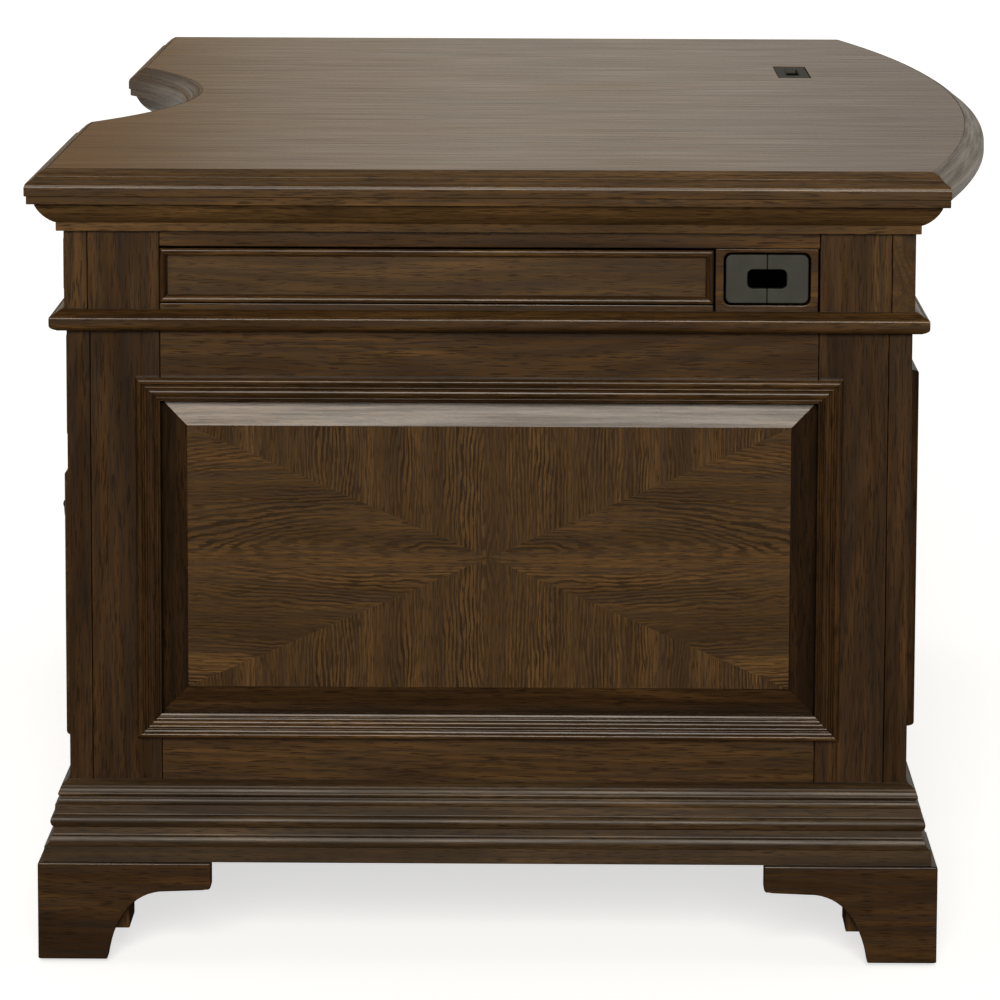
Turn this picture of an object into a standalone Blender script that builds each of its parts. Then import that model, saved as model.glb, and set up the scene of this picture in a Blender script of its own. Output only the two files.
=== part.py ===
"""Double-pedestal writing desk with a bowed visitor edge and a curved knee recess.

Frame: metres, X along the desk, -Y towards the sitter, +Z up. The origin is on the floor,
at the middle of the desk's bounding box. Meshes are drawn about the middle of the desk's
ends, and the parent empty moves them back by half the bow.
"""

import math

import bmesh
import bpy

# ---- driving sizes ------------------------------------------------------------------
LENGTH = 1.829
HEIGHT = 0.762
END_DEPTH = 0.872
BOW = 0.082
FIT = 0.0003

# top: a veneered field in a moulded edge, on a cornice moulding
TOP_EDGE = 0.020
TOP_THICK = 0.025
CORNICE_HIGH = 0.035
CORNICE_STEP = 0.003
CORNICE_BACK = 0.002
CORNICE_THROAT = 0.0275
SUBTOP_THICK = 0.018
KNEE_LAP = 0.003
KNEE_RISE = 0.088
BOW_STEPS = 16
KNEE_STEPS = 12

# upper case, called the apron, and the belt moulding round its foot
APRON_INSET = 0.034
APRON_BOARD = 0.022
APRON_HIGH = 0.0945
BELT_HIGH = 0.0205
BELT_OUT = 0.0136

# pedestals
PEDESTAL_INSET = 0.036
PEDESTAL_WIDE = 0.4965
FRAME_THICK = 0.022
CASE_LIFT = 0.014
SIDE_BOARD = 0.018
NOTCH_ROOM = 0.003
BOTTOM_LIFT = 0.030
MOULDING_TO_CORNER = 0.065
MOULDING_WIDE = 0.023
MOULDING_OVER_BASE = 0.0405
MOULDING_UNDER_DECK = 0.044
PANEL_EDGE_DEEP = 0.019
PANEL_FIELD_DEEP = 0.008
PANEL_BEVEL = 0.0247
PANEL_BACK_DEEP = 0.031
VISITOR_MARGIN = 0.073

# base moulding, bracket feet and glides
BASE_HIGH = 0.077
FOOT_HIGH = 0.098
FOOT_OUT = 0.0295
FOOT_BOARD = 0.022
FOOT_LONG = 0.1655
FOOT_SOLE = 0.066
FOOT_ARCH = 0.0715
FOOT_BLOCK = 0.060
GLIDE_RADIUS = 0.0085
GLIDE_HIGH = 0.0045
GLIDE_IN = 0.027

# frieze panel and cable outlet in each end of the apron
FRIEZE_OVER_DECK = 0.0265
FRIEZE_TALL = 0.052
OUTLET_OVER_DECK = 0.051
OUTLET_MARGIN = 0.009
OUTLET_WIDE = 0.078
OUTLET_TALL = 0.046
OUTLET_GAP = 0.002
OUTLET_SLOT_WIDE = 0.037
OUTLET_SLOT_TALL = 0.018
OUTLET_THICK = 0.008

# cable outlet in the top
TOP_OUTLET_LAP = 0.0365
TOP_OUTLET_IN = 0.100
TOP_OUTLET_LONG = 0.181
TOP_OUTLET_WIDE = 0.036
TOP_SLOT_LONG = 0.092
TOP_SLOT_WIDE = 0.015

# modesty panel between the pedestals
MODESTY_BACK = 0.038
MODESTY_GAP = 0.0026

# drawers
DRAWER_STILE = 0.038
DRAWER_GAP = 0.002
DRAWER_PROUD = 0.0045
FILE_PROUD = 0.007
DRAWER_FRONT = 0.020
DRAWER_WALL = 0.012
DRAWER_FLOOR = 0.006
SLIDE_ROOM = 0.013
TRAY_LONG = 0.560
FRIEZE_TRAY_LONG = 0.500
CENTRE_TRAY_LONG = 0.460
CENTRE_STILE = 0.032
BOX_TALL = 0.108
FACE_TOP_RAIL = 0.004
FACE_MIDDLE_RAIL = 0.0255
FACE_BOTTOM_RAIL = 0.030
APRON_TOP_RAIL = 0.0055
APRON_BOTTOM_RAIL = 0.027
PULL_SPAN = 0.096
PULL_OUT = 0.0175
PULL_LIFT = 0.006
FILE_PULL_DROP = 0.060
PULL_SIDES = 8

# ---- sizes that follow ----------------------------------------------------------------
END_HALF = END_DEPTH / 2
TOP_BOTTOM = HEIGHT - TOP_THICK
CORNICE_BOTTOM = TOP_BOTTOM - CORNICE_HIGH
DECK = CORNICE_BOTTOM - APRON_HIGH
BASE_TOP = FOOT_HIGH + BASE_HIGH
CASE_FOOT = FOOT_HIGH + CASE_LIFT
APRON_X = LENGTH / 2 - APRON_INSET
APRON_Y = END_HALF - APRON_INSET
PED_X = LENGTH / 2 - PEDESTAL_INSET
PED_Y = END_HALF - PEDESTAL_INSET
PED_IN = PED_X - PEDESTAL_WIDE
FRAME_Y = PED_Y - FRAME_THICK
BOW_CHORD = LENGTH / 2 - TOP_EDGE
BOW_RADIUS = (BOW_CHORD**2 + BOW**2) / (2 * BOW)
BOW_CENTRE = END_HALF - TOP_EDGE + BOW - BOW_RADIUS
KNEE_HALF = PED_IN - KNEE_LAP
KNEE_RADIUS = (KNEE_HALF**2 + KNEE_RISE**2) / (2 * KNEE_RISE)
KNEE_CENTRE = -END_HALF + TOP_EDGE + KNEE_RISE - KNEE_RADIUS
OPENING_IN = PED_IN + DRAWER_STILE
OPENING_OUT = PED_X - DRAWER_STILE
MOULDING_Y = PED_Y - MOULDING_TO_CORNER
WINDOW_Y = MOULDING_Y - MOULDING_WIDE
MOULDING_BOTTOM = BASE_TOP + MOULDING_OVER_BASE
MOULDING_TOP = DECK - MOULDING_UNDER_DECK
WINDOW_LOW = MOULDING_BOTTOM + MOULDING_WIDE
WINDOW_HIGH = MOULDING_TOP - MOULDING_WIDE
FRIEZE_LOW = DECK + FRIEZE_OVER_DECK
FRIEZE_HIGH = FRIEZE_LOW + FRIEZE_TALL
OUTLET_Y = WINDOW_Y - OUTLET_MARGIN - OUTLET_GAP - OUTLET_WIDE / 2
OUTLET_Z = DECK + OUTLET_OVER_DECK
FRIEZE_LEFT = -WINDOW_Y
FRIEZE_RIGHT = OUTLET_Y - OUTLET_WIDE / 2 - OUTLET_GAP - OUTLET_MARGIN
TOP_OUTLET_X = TOP_OUTLET_LAP - PED_IN
TOP_OUTLET_Y = END_HALF - TOP_OUTLET_IN
MODESTY_FACE = PED_Y - MODESTY_BACK
MODESTY_BOTTOM = BASE_TOP + MODESTY_GAP
CENTRE_HALF = PED_IN - CENTRE_STILE
BOX_HIGH = DECK - FACE_TOP_RAIL
BOX_LOW = BOX_HIGH - BOX_TALL
FILE_HIGH = BOX_LOW - FACE_MIDDLE_RAIL
FILE_LOW = BASE_TOP + FACE_BOTTOM_RAIL
FRIEZE_DRAWER_LOW = DECK + APRON_BOTTOM_RAIL
FRIEZE_DRAWER_HIGH = CORNICE_BOTTOM - APRON_TOP_RAIL


def make_material(name, colour, roughness, metallic=0.0):
    material = bpy.data.materials.new(name)
    material.use_nodes = True
    shader = material.node_tree.nodes["Principled BSDF"]
    shader.inputs["Base Color"].default_value = (*colour, 1.0)
    shader.inputs["Roughness"].default_value = roughness
    shader.inputs["Metallic"].default_value = metallic
    return material


def loft(name, loops, material, parent, ring=False):
    """A solid skinned over matching loops of points: capped at both ends, or joined into a ring."""
    shape = bmesh.new()
    rows = [[shape.verts.new(point) for point in loop] for loop in loops]
    pairs = list(zip(rows, rows[1:]))
    if ring:
        pairs.append((rows[-1], rows[0]))
    else:
        shape.faces.new(rows[0])
        shape.faces.new(rows[-1])
    for low, high in pairs:
        for i in range(len(low)):
            j = (i + 1) % len(low)
            shape.faces.new((low[i], low[j], high[j], high[i]))
    return finish(name, shape, material, parent)


def finish(name, shape, material, parent):
    """Turns a bmesh into a named object with its faces pointing out."""
    bmesh.ops.recalc_face_normals(shape, faces=shape.faces)
    mesh = bpy.data.meshes.new(name)
    shape.to_mesh(mesh)
    shape.free()
    mesh.materials.append(material)
    thing = bpy.data.objects.new(name, mesh)
    bpy.context.scene.collection.objects.link(thing)
    thing.parent = parent
    return thing


def helper(thing):
    """Marks a cutter or a piece to be joined, which is no node of its own."""
    thing.hide_render = True
    thing.display_type = "WIRE"
    return thing


def boolean(thing, other, operation):
    modifier = thing.modifiers.new(other.name, "BOOLEAN")
    modifier.operation = operation
    modifier.object = other
    modifier.solver = "EXACT"


def rectangle(low_u, high_u, low_v, high_v, inset=0.0):
    return [
        (low_u + inset, low_v + inset),
        (high_u - inset, low_v + inset),
        (high_u - inset, high_v - inset),
        (low_u + inset, high_v - inset),
    ]


def rounded(centre_u, centre_v, wide, tall, radius, steps=4):
    """A rectangle with round corners."""
    points = []
    for turn, (su, sv) in enumerate(((1, 1), (-1, 1), (-1, -1), (1, -1))):
        for step in range(steps + 1):
            angle = math.radians(90 * (turn + step / steps))
            u = centre_u + su * (wide / 2 - radius) + radius * math.cos(angle)
            v = centre_v + sv * (tall / 2 - radius) + radius * math.sin(angle)
            points.append((u, v))
    return points


def block(name, xs, ys, zs, material, parent):
    outline = rectangle(xs[0], xs[1], ys[0], ys[1])
    loops = [[(x, y, z) for x, y in outline] for z in zs]
    return loft(name, loops, material, parent)


def facing_end(side, face):
    """Places (along Y, up, out) on an end face."""
    return lambda u, v, out: (side * (face + out), u, v)


def facing_visitor(face):
    return lambda u, v, out: (u, face + out, v)


def facing_sitter(face):
    return lambda u, v, out: (u, -face - out, v)


def panel(name, place, area, steps, material, parent):
    """A board whose face is stepped or bevelled: steps are (inset, out) from back to front."""
    loops = [[place(u, v, out) for u, v in rectangle(*area, inset)] for inset, out in steps]
    return loft(name, loops, material, parent)


def moulding(name, place, area, profile, material, parent):
    """A mitred moulding round a rectangle: profile is a closed run of (inset, out)."""
    loops = [[place(u, v, out) for u, v in rectangle(*area, inset)] for inset, out in profile]
    return loft(name, loops, material, parent, ring=True)


def framework(name, place, us, vs, is_open, outs, material, parent):
    """A flat frame drawn as a grid of cells, some of them open."""
    shape = bmesh.new()
    points = {}

    def corner(i, j, k):
        if (i, j, k) not in points:
            points[i, j, k] = shape.verts.new(place(us[i], vs[j], outs[k]))
        return points[i, j, k]

    def solid(i, j):
        if not (0 <= i < len(us) - 1 and 0 <= j < len(vs) - 1):
            return False
        return not is_open((us[i] + us[i + 1]) / 2, (vs[j] + vs[j + 1]) / 2)

    for i in range(len(us) - 1):
        for j in range(len(vs) - 1):
            if not solid(i, j):
                continue
            for k in (0, 1):
                shape.faces.new(
                    [corner(i, j, k), corner(i + 1, j, k), corner(i + 1, j + 1, k), corner(i, j + 1, k)]
                )
            edges = (
                ((i, j - 1), (i, j), (i + 1, j)),
                ((i + 1, j), (i + 1, j), (i + 1, j + 1)),
                ((i, j + 1), (i + 1, j + 1), (i, j + 1)),
                ((i - 1, j), (i, j + 1), (i, j)),
            )
            for beyond, start, end in edges:
                if not solid(*beyond):
                    shape.faces.new(
                        [corner(*start, 0), corner(*end, 0), corner(*end, 1), corner(*start, 1)]
                    )
    return finish(name, shape, material, parent)


# ---- outlines ---------------------------------------------------------------------------
def knee_corner(inset):
    radius = KNEE_RADIUS + inset - TOP_EDGE
    return math.sqrt(radius**2 - (-END_HALF + inset - KNEE_CENTRE) ** 2)


def knee_y(x, inset):
    radius = KNEE_RADIUS + inset - TOP_EDGE
    return KNEE_CENTRE + math.sqrt(radius**2 - x**2)


def knee_run(inset):
    """The sitter's edge between the two arms, from -X to +X."""
    half = knee_corner(inset)
    xs = [half * (2 * step / KNEE_STEPS - 1) for step in range(KNEE_STEPS + 1)]
    return [(x, knee_y(x, inset)) for x in xs]


def bow_run(inset):
    """The visitor's edge, from +X to -X."""
    half = LENGTH / 2 - inset
    radius = BOW_RADIUS + TOP_EDGE - inset
    xs = [half * (1 - 2 * step / BOW_STEPS) for step in range(BOW_STEPS + 1)]
    return [(x, BOW_CENTRE + math.sqrt(radius**2 - x**2)) for x in xs]


def along(run, x):
    """The y of a faceted run at x."""
    for (x0, y0), (x1, y1) in zip(run, run[1:]):
        if x <= x1:
            return y0 + (y1 - y0) * (x - x0) / (x1 - x0)
    return run[-1][1]


def top_outline(inset):
    """The outline of the top, moved in by inset, anticlockwise."""
    x = LENGTH / 2 - inset
    y = -END_HALF + inset
    return [(x, y)] + bow_run(inset) + [(-x, y)] + knee_run(inset)


def apron_outline(inset):
    """Straight on three sides, with the knee curve on the fourth."""
    x = LENGTH / 2 - inset
    y = END_HALF - inset
    return [(x, -y), (x, y), (-x, y), (-x, -y)] + knee_run(inset)


def cornice_outline(inset):
    """As the top's outline, but straight under the bow, which overhangs it."""
    x = LENGTH / 2 - inset
    y = END_HALF - CORNICE_BACK - inset
    return [(x, inset - END_HALF), (x, y), (-x, y), (-x, inset - END_HALF)] + knee_run(inset)


def around(name, outline, profile, material, parent):
    """A moulding that follows an outline: profile is a closed run of (inset, height)."""
    loops = [[(x, y, z) for x, y in outline(inset)] for inset, z in profile]
    return loft(name, loops, material, parent, ring=True)


# ---- the top ------------------------------------------------------------------------------
def edge_profile():
    return [
        (TOP_EDGE, TOP_BOTTOM),
        (TOP_EDGE, HEIGHT),
        (0.0150, HEIGHT - 0.0025),
        (0.0115, HEIGHT - 0.0065),
        (0.0100, HEIGHT - 0.0075),
        (0.0040, HEIGHT - 0.0110),
        (0.0008, HEIGHT - 0.0150),
        (0.0, HEIGHT - 0.0165),
        (0.0, TOP_BOTTOM),
    ]


def cornice_profile():
    """A band, a cove and a fillet, set back under the top."""
    top = TOP_BOTTOM - FIT
    lip = CORNICE_STEP + 0.006
    cove_top = TOP_BOTTOM - 0.0080
    cove_foot = CORNICE_BOTTOM + 0.0085
    inside = APRON_INSET + APRON_BOARD
    profile = [(inside, CORNICE_BOTTOM), (inside, top), (CORNICE_STEP, top)]
    profile += [(CORNICE_STEP, cove_top + 0.0006), (lip, cove_top)]
    deep = CORNICE_THROAT - 0.001 - lip
    high = cove_top - cove_foot
    for step in range(1, 6):
        angle = math.radians(90 * step / 5)
        profile.append((lip + deep * (1 - math.cos(angle)), cove_top - high * math.sin(angle)))
    profile += [(CORNICE_THROAT, cove_foot - 0.001), (CORNICE_THROAT, CORNICE_BOTTOM)]
    return profile


def build_top(wood, veneer, plastic, parent):
    field = [[(x, y, z) for x, y in top_outline(TOP_EDGE + FIT)] for z in (TOP_BOTTOM, HEIGHT)]
    desktop = loft("desktop_panel", field, veneer, parent)
    around("desktop_edge_molding", top_outline, edge_profile(), wood, parent)
    around("cornice_molding", cornice_outline, cornice_profile(), wood, parent)
    inside = APRON_INSET + APRON_BOARD + FIT
    levels = (TOP_BOTTOM - SUBTOP_THICK - FIT, TOP_BOTTOM - FIT)
    subtop = loft(
        "subtop_panel", [[(x, y, z) for x, y in cornice_outline(inside)] for z in levels], wood, parent
    )
    half_long = TOP_OUTLET_LONG / 2 + OUTLET_GAP / 2
    half_wide = TOP_OUTLET_WIDE / 2 + OUTLET_GAP / 2
    cutter = block(
        "top_outlet_cutter",
        (TOP_OUTLET_X - half_long, TOP_OUTLET_X + half_long),
        (TOP_OUTLET_Y - half_wide, TOP_OUTLET_Y + half_wide),
        (TOP_BOTTOM - 2 * SUBTOP_THICK, HEIGHT + TOP_THICK),
        wood,
        parent,
    )
    helper(cutter)
    boolean(desktop, cutter, "DIFFERENCE")
    boolean(subtop, cutter, "DIFFERENCE")
    outer = rounded(TOP_OUTLET_X, TOP_OUTLET_Y, TOP_OUTLET_LONG, TOP_OUTLET_WIDE, 0.004)
    slot = rounded(TOP_OUTLET_X, TOP_OUTLET_Y, TOP_SLOT_LONG, TOP_SLOT_WIDE, 0.004)
    low = HEIGHT - OUTLET_THICK
    high = HEIGHT - 0.0005
    rings = ((outer, low), (outer, high), (slot, high), (slot, low))
    loft(
        "top_cable_outlet", [[(x, y, z) for x, y in path] for path, z in rings], plastic, parent, ring=True
    )


# ---- the apron ------------------------------------------------------------------------------
def build_apron(wood, veneer, plastic, parent):
    low = DECK + FIT
    high = CORNICE_BOTTOM - FIT
    apron_y_in = APRON_Y - APRON_BOARD
    block("visitor_apron", (-APRON_X, APRON_X), (apron_y_in, APRON_Y), (low, high), wood, parent)

    belt = DECK + BELT_HIGH
    face = APRON_INSET - FIT
    nose = APRON_INSET - BELT_OUT
    profile = [
        (face, DECK),
        (face, belt),
        (nose + 0.0075, belt - 0.0035),
        (nose + 0.0015, belt - 0.0065),
        (nose, belt - 0.0085),
        (nose, DECK + 0.0045),
        (nose + 0.0040, DECK + 0.0005),
        (nose + 0.0060, DECK),
    ]
    around("belt_molding", apron_outline, profile, wood, parent)

    # the sitter's side: straight over each pedestal and curved between them
    half = APRON_X
    inner = APRON_INSET + APRON_BOARD
    outer_run = [(-half, -APRON_Y)] + knee_run(APRON_INSET) + [(half, -APRON_Y)]
    inner_run = [(-half, -apron_y_in)] + knee_run(inner) + [(half, -apron_y_in)]
    openings = [
        (-OPENING_OUT, -OPENING_IN),
        (-CENTRE_HALF, CENTRE_HALF),
        (OPENING_IN, OPENING_OUT),
    ]
    breaks = sorted({x for x, _ in outer_run} | {edge for pair in openings for edge in pair})

    def place(x, z, out):
        return (x, along(outer_run if out else inner_run, x), z)

    def is_open(x, z):
        inside = any(first < x < last for first, last in openings)
        return inside and FRIEZE_DRAWER_LOW < z < FRIEZE_DRAWER_HIGH

    levels = [low, FRIEZE_DRAWER_LOW, FRIEZE_DRAWER_HIGH, high]
    framework("sitter_apron", place, breaks, levels, is_open, (0, 1), wood, parent)

    for side, word in ((1, "right"), (-1, "left")):
        place = facing_end(side, APRON_X)
        hole = (
            OUTLET_Y - OUTLET_WIDE / 2 - OUTLET_GAP,
            OUTLET_Y + OUTLET_WIDE / 2 + OUTLET_GAP,
            OUTLET_Z - OUTLET_TALL / 2 - OUTLET_GAP,
            OUTLET_Z + OUTLET_TALL / 2 + OUTLET_GAP,
        )

        def open_cell(y, z, hole=hole):
            frieze = FRIEZE_LEFT < y < FRIEZE_RIGHT and FRIEZE_LOW < z < FRIEZE_HIGH
            return frieze or (hole[0] < y < hole[1] and hole[2] < z < hole[3])

        ys = [-apron_y_in + FIT, FRIEZE_LEFT, FRIEZE_RIGHT, hole[0], hole[1], apron_y_in - FIT]
        zs = sorted({low, FRIEZE_LOW, FRIEZE_HIGH, hole[2], hole[3], high})
        outs = (-APRON_BOARD, 0.0)
        framework(f"{word}_apron_end", place, ys, zs, open_cell, outs, wood, parent)
        area = (FRIEZE_LEFT + FIT, FRIEZE_RIGHT - FIT, FRIEZE_LOW + FIT, FRIEZE_HIGH - FIT)
        steps = [(0, -0.014), (0, 0.0), (0.0012, 0.0016), (0.004, 0.0025), (0.0066, 0.0016)]
        steps += [(0.0078, -0.0035)]
        panel(f"{word}_frieze_panel", place, area, steps, veneer, parent)
        plate = rounded(OUTLET_Y, OUTLET_Z, OUTLET_WIDE, OUTLET_TALL, 0.005)
        slot = rounded(OUTLET_Y, OUTLET_Z, OUTLET_SLOT_WIDE, OUTLET_SLOT_TALL, 0.007)
        rings = ((plate, -OUTLET_THICK), (plate, -0.0005), (slot, -0.0005), (slot, -OUTLET_THICK))
        loops = [[place(u, v, out) for u, v in path] for path, out in rings]
        loft(f"{word}_cable_outlet", loops, plastic, parent, ring=True)


# ---- pedestals --------------------------------------------------------------------------------
def panel_profile():
    """The moulding planted round a raised panel: an outer bead, a quirk, a cove and a small bead."""
    return [
        (0.0, FIT),
        (0.0, 0.0045),
        (0.0012, 0.0095),
        (0.0035, 0.0125),
        (0.0056, 0.0115),
        (0.0064, 0.0085),
        (0.0088, 0.0085),
        (0.0100, 0.0060),
        (0.0135, 0.0052),
        (0.0170, 0.0028),
        (0.0190, 0.0035),
        (0.0215, 0.0035),
        (MOULDING_WIDE, 0.0015),
        (MOULDING_WIDE, FIT),
    ]


def panel_steps():
    return [
        (FIT, -PANEL_BACK_DEEP),
        (FIT, -PANEL_EDGE_DEEP),
        (PANEL_BEVEL, -PANEL_FIELD_DEEP),
    ]


def framed_panel(word, place, outside, inset, wood, veneer, parent):
    """A frame with a raised panel and its moulding. inset is how far the moulding starts in."""
    low_u, high_u, low_v, high_v = outside
    start = (low_u + inset, high_u - inset)
    window = (start[0] + MOULDING_WIDE, start[1] - MOULDING_WIDE)
    us = [low_u, *window, high_u]
    vs = [low_v, WINDOW_LOW, WINDOW_HIGH, high_v]

    def is_open(u, v):
        return window[0] < u < window[1] and WINDOW_LOW < v < WINDOW_HIGH

    framework(f"{word}_frame", place, us, vs, is_open, (-FRAME_THICK, 0.0), wood, parent)
    panel(f"{word}_panel", place, (*window, WINDOW_LOW, WINDOW_HIGH), panel_steps(), veneer, parent)
    area = (*start, MOULDING_BOTTOM, MOULDING_TOP)
    moulding(f"{word}_panel_molding", place, area, panel_profile(), wood, parent)


def base_profile():
    """The base moulding's section: (out from the case, up). The steps are drawn (out, down)."""
    drop = [
        (0.0040, 0.0015),
        (0.0085, 0.0070),
        (0.0105, 0.0110),
        (0.0105, 0.0150),
        (0.0080, 0.0170),
        (0.0082, 0.0190),
        (0.0120, 0.0230),
        (0.0140, 0.0330),
        (0.0168, 0.0345),
        (0.0178, 0.0385),
        (0.0168, 0.0430),
        (0.0145, 0.0460),
        (0.0142, 0.0495),
        (0.0165, 0.0535),
        (0.0210, 0.0565),
        (0.0230, 0.0620),
    ]
    section = [(FIT, FOOT_HIGH + FIT), (FIT, BASE_TOP)]
    section += [(out, BASE_TOP - down) for out, down in drop]
    return section + [(0.0235, FOOT_HIGH + FIT)]


def case_outline(side, out):
    """The pedestal's plan moved out by out."""
    xs = sorted((side * (PED_IN - out), side * (PED_X + out)))
    return rectangle(xs[0], xs[1], -PED_Y - out, PED_Y + out)


def bracket_outline():
    """One leg of a bracket foot, seen square on: (along, up) from the outer corner."""
    start = (FOOT_SOLE, GLIDE_HIGH)
    control = (FOOT_SOLE + 0.014, FOOT_ARCH - 0.010)
    end = (FOOT_SOLE + 0.052, FOOT_ARCH)
    points = [(0.0, GLIDE_HIGH)]
    for step in range(7):
        t = step / 6
        points.append(
            tuple(
                (1 - t) ** 2 * a + 2 * t * (1 - t) * b + t**2 * c
                for a, b, c in zip(start, control, end)
            )
        )
    points += [(FOOT_LONG - 0.007, FOOT_ARCH + 0.001), (FOOT_LONG - 0.001, FOOT_ARCH + 0.005)]
    points += [(FOOT_LONG, FOOT_ARCH + 0.012), (FOOT_LONG, FOOT_HIGH), (0.0, FOOT_HIGH)]
    return points


def build_feet(side, word, wood, parent):
    """Four bracket feet on a cleat frame, which screws up under the case."""
    place = lambda u, v, out: (u, v, out)
    inner = case_outline(side, -FIT)
    core = case_outline(side, -FOOT_BLOCK)
    us = [inner[0][0], core[0][0], core[1][0], inner[1][0]]
    vs = [inner[0][1], core[0][1], core[2][1], inner[2][1]]

    def is_open(u, v):
        return us[1] < u < us[2] and vs[1] < v < vs[2]

    name = f"{word}_foot_frame"
    levels = (FOOT_HIGH - 0.012, CASE_FOOT - FIT)
    frame = framework(name, place, us, vs, is_open, levels, wood, parent)
    corners = case_outline(side, FOOT_OUT)
    middle_x = (corners[0][0] + corners[1][0]) / 2
    for number, (x, y) in enumerate(corners):
        dx = 1 if x < middle_x else -1
        dy = 1 if y < 0 else -1
        pieces = []
        leg = bracket_outline()
        along_y = [[(x + dx * deep, y + dy * u, v) for u, v in leg] for deep in (0.0, FOOT_BOARD)]
        along_x = [[(x + dx * u, y + dy * deep, v) for u, v in leg] for deep in (0.0, FOOT_BOARD)]
        pieces.append(loft(f"{name}_leg_y_{number}", along_y, wood, parent))
        pieces.append(loft(f"{name}_leg_x_{number}", along_x, wood, parent))
        ends = [FOOT_BOARD - 0.001, FOOT_OUT + FOOT_BLOCK - 0.001]
        xs = sorted(x + dx * end for end in ends)
        ys = sorted(y + dy * end for end in ends)
        zs = (0.030, FOOT_HIGH - 0.002)
        pieces.append(block(f"{name}_block_{number}", xs, ys, zs, wood, parent))
        circle = [
            (
                x + dx * GLIDE_IN + GLIDE_RADIUS * math.cos(math.tau * step / 12),
                y + dy * GLIDE_IN + GLIDE_RADIUS * math.sin(math.tau * step / 12),
            )
            for step in range(12)
        ]
        glide = [[(a, b, z) for a, b in circle] for z in (0.0, 0.040)]
        pieces.append(loft(f"{name}_glide_{number}", glide, wood, parent))
        for piece in pieces:
            boolean(frame, helper(piece), "UNION")


def build_pedestal(side, word, wood, veneer, parent):
    top = DECK - FIT
    end = (-FRAME_Y + FIT, FRAME_Y - FIT, CASE_FOOT, top)
    inset = MOULDING_TO_CORNER - FRAME_THICK - FIT
    framed_panel(f"{word}_end", facing_end(side, PED_X), end, inset, wood, veneer, parent)
    xs = sorted((side * PED_IN, side * PED_X))
    back = (*xs, CASE_FOOT, top)
    framed_panel(f"{word}_visitor", facing_visitor(PED_Y), back, VISITOR_MARGIN, wood, veneer, parent)

    # the sitter's face frame, with two drawer openings
    openings = ((FILE_LOW, FILE_HIGH), (BOX_LOW, BOX_HIGH))
    door = sorted((side * OPENING_IN, side * OPENING_OUT))

    def is_open(x, z):
        return door[0] < x < door[1] and any(low < z < high for low, high in openings)

    us = [xs[0], *door, xs[1]]
    vs = [CASE_FOOT, FILE_LOW, FILE_HIGH, BOX_LOW, BOX_HIGH, top]
    outs = (-FRAME_THICK, 0.0)
    framework(f"{word}_face_frame", facing_sitter(PED_Y), us, vs, is_open, outs, wood, parent)

    # the board beside the knees runs up to the cornice, so that it carries every slide,
    # and its front corner is notched round the apron
    notch_y = max(knee_y(PED_IN, APRON_INSET + APRON_BOARD), -FRAME_Y) + NOTCH_ROOM
    ys = (-FRAME_Y + FIT, FRAME_Y - FIT)
    high = CORNICE_BOTTOM - FIT
    outline = [(ys[0], CASE_FOOT), (ys[1], CASE_FOOT), (ys[1], high), (notch_y, high)]
    outline += [(notch_y, top), (ys[0], top)]
    board = [[(side * x, y, z) for y, z in outline] for x in (PED_IN, PED_IN + SIDE_BOARD)]
    loft(f"{word}_inner_side", board, veneer, parent)
    floor = sorted((side * (PED_IN + SIDE_BOARD + FIT), side * (PED_X - PANEL_BACK_DEEP - 0.002)))
    deck = (CASE_FOOT + BOTTOM_LIFT, CASE_FOOT + BOTTOM_LIFT + SIDE_BOARD)
    block(f"{word}_bottom_board", floor, ys, deck, wood, parent)

    loops = [[(x, y, z) for x, y in case_outline(side, out)] for out, z in base_profile()]
    loft(f"{word}_base_molding", loops, wood, parent, ring=True)
    build_feet(side, word, wood, parent)


def build_modesty(wood, veneer, parent):
    half = PED_IN - FIT
    outside = (-half, half, MODESTY_BOTTOM, DECK - FIT)
    framed_panel("modesty", facing_visitor(MODESTY_FACE), outside, VISITOR_MARGIN, wood, veneer, parent)


# ---- drawers -----------------------------------------------------------------------------------
def slide(name, desk):
    """The empty on a drawer's joint. The drawer's pieces are parented to it."""
    empty = bpy.data.objects.new(name, None)
    bpy.context.scene.collection.objects.link(empty)
    empty.parent = desk
    return empty


def tray(name, outer, inner, low, high, wood, parent):
    """An open box: four walls and a floor."""
    loops = [[(x, y, low) for x, y in outer], [(x, y, high) for x, y in outer]]
    loops += [[(x, y, high) for x, y in inner], [(x, y, low + DRAWER_FLOOR) for x, y in inner]]
    loft(name, loops, wood, parent)


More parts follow.
